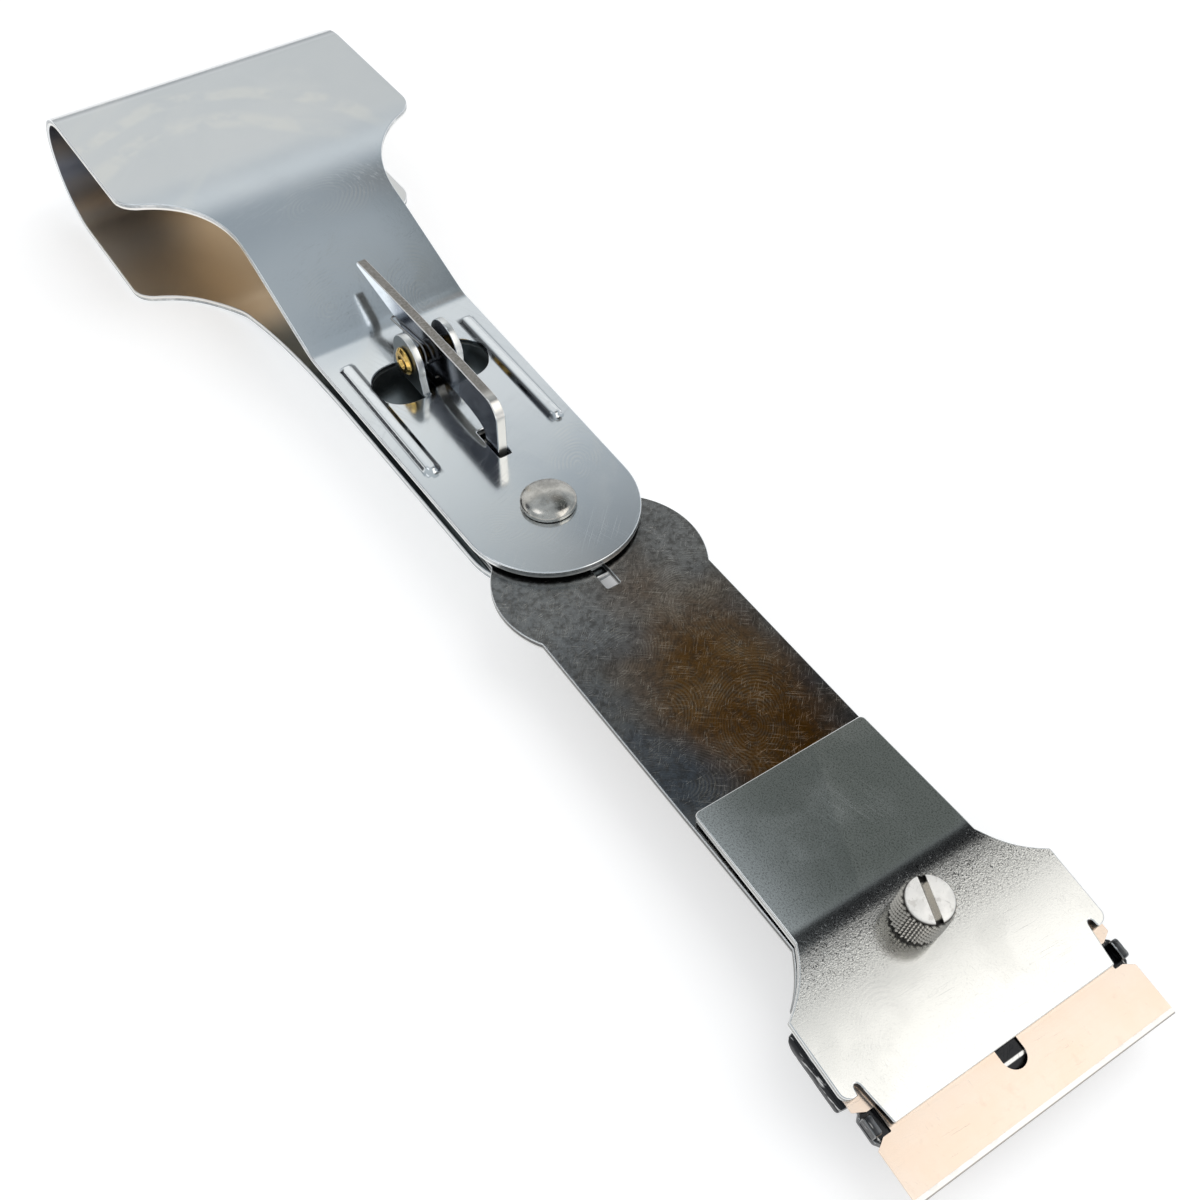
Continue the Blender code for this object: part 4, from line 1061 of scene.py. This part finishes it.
def makeScrew():
    s = screwSizes
    base, foot, shank = s.base, s.foot, s.shank
    core = s.radius - s.studHeight * 0.75
    top = base + s.height
    profile = [(0.0, top), (core - 0.1, top), (core + 0.12, top - 0.3), (core, top - 0.55), (core, base + 0.5),
               (core + 0.1, base + 0.3), (core - 0.1, base), (shank, base), (shank, foot + 0.4), (shank - 0.4, foot),
               (0.0, foot)]
    body = Shell().turn(softened(profile, 0.1, False), 104, Vector).piece("thumbScrew", False)
    cutter = linked("slotCut", bpy.data.meshes.new("slotCut"))
    work = bmesh.new()
    bmesh.ops.create_cube(work, size=1.0, matrix=toWorld @ Matrix.Rotation(radians(s.slotTurn), 4, "Z")
                          @ Matrix.Translation((0, 0, top - s.slotDepth + 1.5))
                          @ Matrix.Diagonal((4 * s.radius, s.slotWidth, 3.0, 1.0)))
    work.to_mesh(cutter.data)
    step = body.modifiers.new("slot", "BOOLEAN")
    step.object, step.solver = cutter, "EXACT"
    slotted = evaluated(body)
    body.modifiers.clear()
    bpy.data.objects.remove(cutter, do_unlink=True)
    slotted.transform(Matrix.Translation(-pivot))
    rowStep = (s.height - 2 * s.plain) / (s.rows - 1)
    studs = knurlTree().run(linked("knurlHolder", bpy.data.meshes.new("knurlHolder")), "knurlStuds", {
        "Count": s.count, "Rows": s.rows, "Radius": core * mm, "Row Step": rowStep * mm,
        "Start": (base + s.plain) * mm, "Stud Half": pi * core / s.count * 0.99 * mm,
        "Stud Height": s.studHeight * mm, "Finish": screwLook})
    work.clear()
    work.from_mesh(slotted)
    work.from_mesh(studs.data)
    work.to_mesh(slotted)
    work.free()
    bpy.data.objects.remove(studs, do_unlink=True)
    slotted.transform(toWorld @ headPlace @ Matrix.Translation((screwX, 0, 0)) @ Matrix.Scale(1 / mm, 4))
    slotted.shade_smooth()
    slotted.set_sharp_from_angle(angle=radians(28))
    body.data = slotted
    return body


screw = makeScrew()

# the lever's spring, about its pin
springSizes = Sizes(wire=0.18, sides=12, coil=1.78, start=2.41, first=-70.0, turns=1.45, pitch=0.85, leg=4.3,
                    leafGap=0.78, elbowX=-9.6, elbowZ=0.25, corner=0.6, count=64)


def makeSpring():
    s = springSizes
    coils = []
    for gone in (s.turns * i / s.count for i in range(s.count + 1)):
        turn = radians(s.first) + 2 * pi * gone
        coils.append(Vector((s.coil * cos(turn), s.pitch * gone - s.start, s.coil * sin(turn))))
    leafEnd = Vector((-s.leg, coils[0].y, s.leafGap - pinPlace.z))
    elbow = Vector((s.elbowX, coils[-1].y, s.elbowZ))
    line = [leafEnd.lerp(coils[0], k / 8) for k in range(8)] + coils
    line += [coils[-1].lerp(elbow, k / 8) for k in range(1, 9)]
    line += [elbow + Vector((-s.corner * sin(turn), s.corner * (1 - cos(turn)), 0))
             for turn in (pi / 12 * k for k in range(1, 7))]
    line.append(elbow + Vector((-s.corner, -elbow.y, 0)))
    path = bpy.data.curves.new("springPath", "CURVE")
    path.dimensions = "3D"
    points = path.splines.new("POLY").points
    points.add(len(line) - 1)
    for point, spot in zip(points, line):
        point.co = (*(toWorld @ (pinPlace + spot)), 1.0)
    made = wireTree().run(linked("springHolder", path), "leverSpring",
                          {"Wire Radius": s.wire * mm, "Sides": s.sides, "Finish": springLook})
    made.data.shade_smooth()
    made.data.set_sharp_from_angle(angle=radians(40))
    return made


spring = makeSpring()
print("thumb screw and spring done")

pieces = {
    "handle": (handle, "grip", "plated_steel", platedSteel()),
    "pivot_rivet": (rivet, "grip", "rivet_nickel", struckNickel()),
    "pivot_washer": (washer, "grip", "washer_steel",
                     wornMetal("washerSteel", (0.44, 0.44, 0.43), 0.3, (0.26, 0.2, 0.15))),
    "lever_pin": (pin, "grip", "pin_brass", wornMetal("pinBrass", (1.0, 0.66, 0.2), 0.13, (0.55, 0.34, 0.1), 3.0)),
    "arm": (arm, "swing_arm", "arm_steel", tangSteel()),
    "blade": (blade, "swing_arm", "blade_copper", bladeCopper()),
    "clamp_plate": (plate, "clamp", "clamp_steel", clampSteel()),
    "thumb_screw": (screw, "screw", "screw_nickel", screwLook),
    "lock_lever": (lever, "lever", "lever_steel", leverSteel()),
    "lever_spring": (spring, "lever", "spring_steel", springLook)}
for node, (piece, body, slot, look) in pieces.items():
    piece.data.materials.clear()
    piece.data.materials.append(look)
    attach(piece, body)
    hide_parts(node)
print("pieces ride their bodies")

stageSizes = Sizes(floor=2400.0, floorDrop=0.2, ceiling=5200.0, ceilingSpot=(-200, 200, 1000), wall=(1100, 330),
                   wallSpot=(-650, -660, 165), lamp=420.0, lampSpot=(60, 260, 620), watts=0.9)
stageTones = {"white": (0.64, 0.64, 0.64), "glow": (0.52, 0.52, 0.52), "floorShadow": (0.06, 0.06, 0.06),
              "wall": (0.03, 0.032, 0.038), "room": (0.46, 0.505, 0.54), "bright": (0.93, 0.95, 0.955),
              "far": (0.69, 0.715, 0.73), "wood": (0.116, 0.132, 0.127), "pale": (0.27, 0.262, 0.25),
              "gloom": (0.014, 0.015, 0.017), "light": (1.5, 1.47, 1.42), "dim": (0.03, 0.035, 0.05),
              "lit": (1.7, 1.72, 1.75)}


def card(name, centre, facing, width, height, look):  # a flat card that faces along a direction
    turn = Vector(facing).to_track_quat("Z", "Y")
    corners = [Vector((x * width / 2, y * height / 2, 0)) for x, y in boxLoop(-1, 1, 1)]
    mesh = bpy.data.meshes.new(name)
    mesh.from_pydata([toWorld @ (turn @ corner + Vector(centre)) for corner in corners], [], [(0, 1, 2, 3)])
    mesh.materials.append(look)
    made = linked(name, mesh)
    return made


def floorLook():  # glows a little, so the shadow stays faint, and less along the tool's middle, as a painted shadow under it
    paint = Paint("whiteFloor", stageTones, 0.0)
    shade = paint.zone(away=(10, 3), x=(-50, -20, 70, 40))
    return paint.matt("white", paint.blend(shade, "glow", "floorShadow"))


def ceilingLook():  # what the bright metal mirrors: a grey room, a dark corner and one large soft light
    paint = Paint("roomCeiling", stageTones, 0.0)
    paint.start(paint.zone(x=(-740, -1060)), "room", "bright")
    paint.over(paint.zone(x=(-1110, -1400)) * (0.6 + paint.zone(y=(450, 1000)) * 0.4), "far")
    wood = paint.blend(paint.zone(x=(-430, -500)), "wood", "pale")
    for x, y, shade in (((-880, -610, -190, -260), (385, 430, 780, 690), wood),
                        ((-245, -185, 150, 90), (280, 345, 800, 720), "gloom"),
                        ((76, 190), (120, 330, 920, 780), "light"),
                        ((-1180, -1020, -540, -700), (-860, -700, -240, -360), "dim"),
                        ((-420, -340, -60, -130), (-520, -430, -110, -190), "lit")):
        paint.over(paint.zone(x=x, y=y), shade)
    return paint.matt((0, 0, 0), paint.colour)


s = stageSizes
ground = -pivot / mm - Vector((0, 0, s.floorDrop))
floor = card("floor", ground, (0, 0, 1), s.floor, s.floor, floorLook())
ceiling = card("roomCeiling", s.ceilingSpot, (0, 0, -1), s.ceiling, s.ceiling, ceilingLook())
darkWall = card("darkWall", s.wallSpot, (650, 660, 0), *s.wall, Paint("darkWall", stageTones, 0.0).matt("wall"))
for made in (ceiling, darkWall):  # seen only in the metal
    for way in ("visible_camera", "visible_diffuse", "visible_shadow", "visible_transmission"):
        setattr(made, way, False)

lamp = bpy.data.lights.new("softBox", "AREA")
lamp.size = s.lamp * mm
lamp.energy = s.watts
softBox = linked("softBox", lamp)
softBox.location = toWorld @ Vector(s.lampSpot)
softBox.rotation_euler = Vector(s.lampSpot).to_track_quat("Z", "Y").to_euler()
softBox.visible_camera = softBox.visible_glossy = False

world = bpy.data.worlds.new("paleRoom")
bpy.context.scene.world = world
world.use_nodes = True
sky = Graph(world.node_tree)
height = sky.node("ShaderNodeSeparateXYZ", {0: sky.node("ShaderNodeTexCoord", None, "Generated")}, "Z")
ramp = sky.make("ShaderNodeValToRGB", {0: height})
stops = ramp.color_ramp.elements
stops.new(0.5)
for stop, place, shade in zip(stops, (0.12, 0.34, 1.0), ((0.5, 0.52, 0.54), (0.9, 0.92, 0.94), (0.62, 0.63, 0.64))):
    stop.position = place
    stop.color = (*shade, 1.0)
sky.feed(world.node_tree.nodes["Background"], {"Color": Flow(sky, ramp.outputs[0]), "Strength": 1.0})

cameraSizes = Sizes(spot=(130.732, -78.57, 159.202), pitch=49.962, turn=56.154, roll=-0.097, lens=45.097, sensor=36.0)
lens = bpy.data.cameras.new("photoCamera")
lens.sensor_width = cameraSizes.sensor
lens.sensor_fit = "HORIZONTAL"
lens.lens = cameraSizes.lens
lens.clip_start = 0.01
camera = linked("photoCamera", lens)
camera.matrix_world = Matrix.Translation(toWorld @ Vector(cameraSizes.spot))
for turn, axis in ((cameraSizes.turn, "Z"), (90 - cameraSizes.pitch, "X"), (-cameraSizes.roll, "Z")):
    camera.matrix_world = camera.matrix_world @ Matrix.Rotation(radians(turn), 4, axis)
bpy.context.scene.camera = camera
bpy.context.scene.view_settings.view_transform = "Standard"
print("stage and camera set")
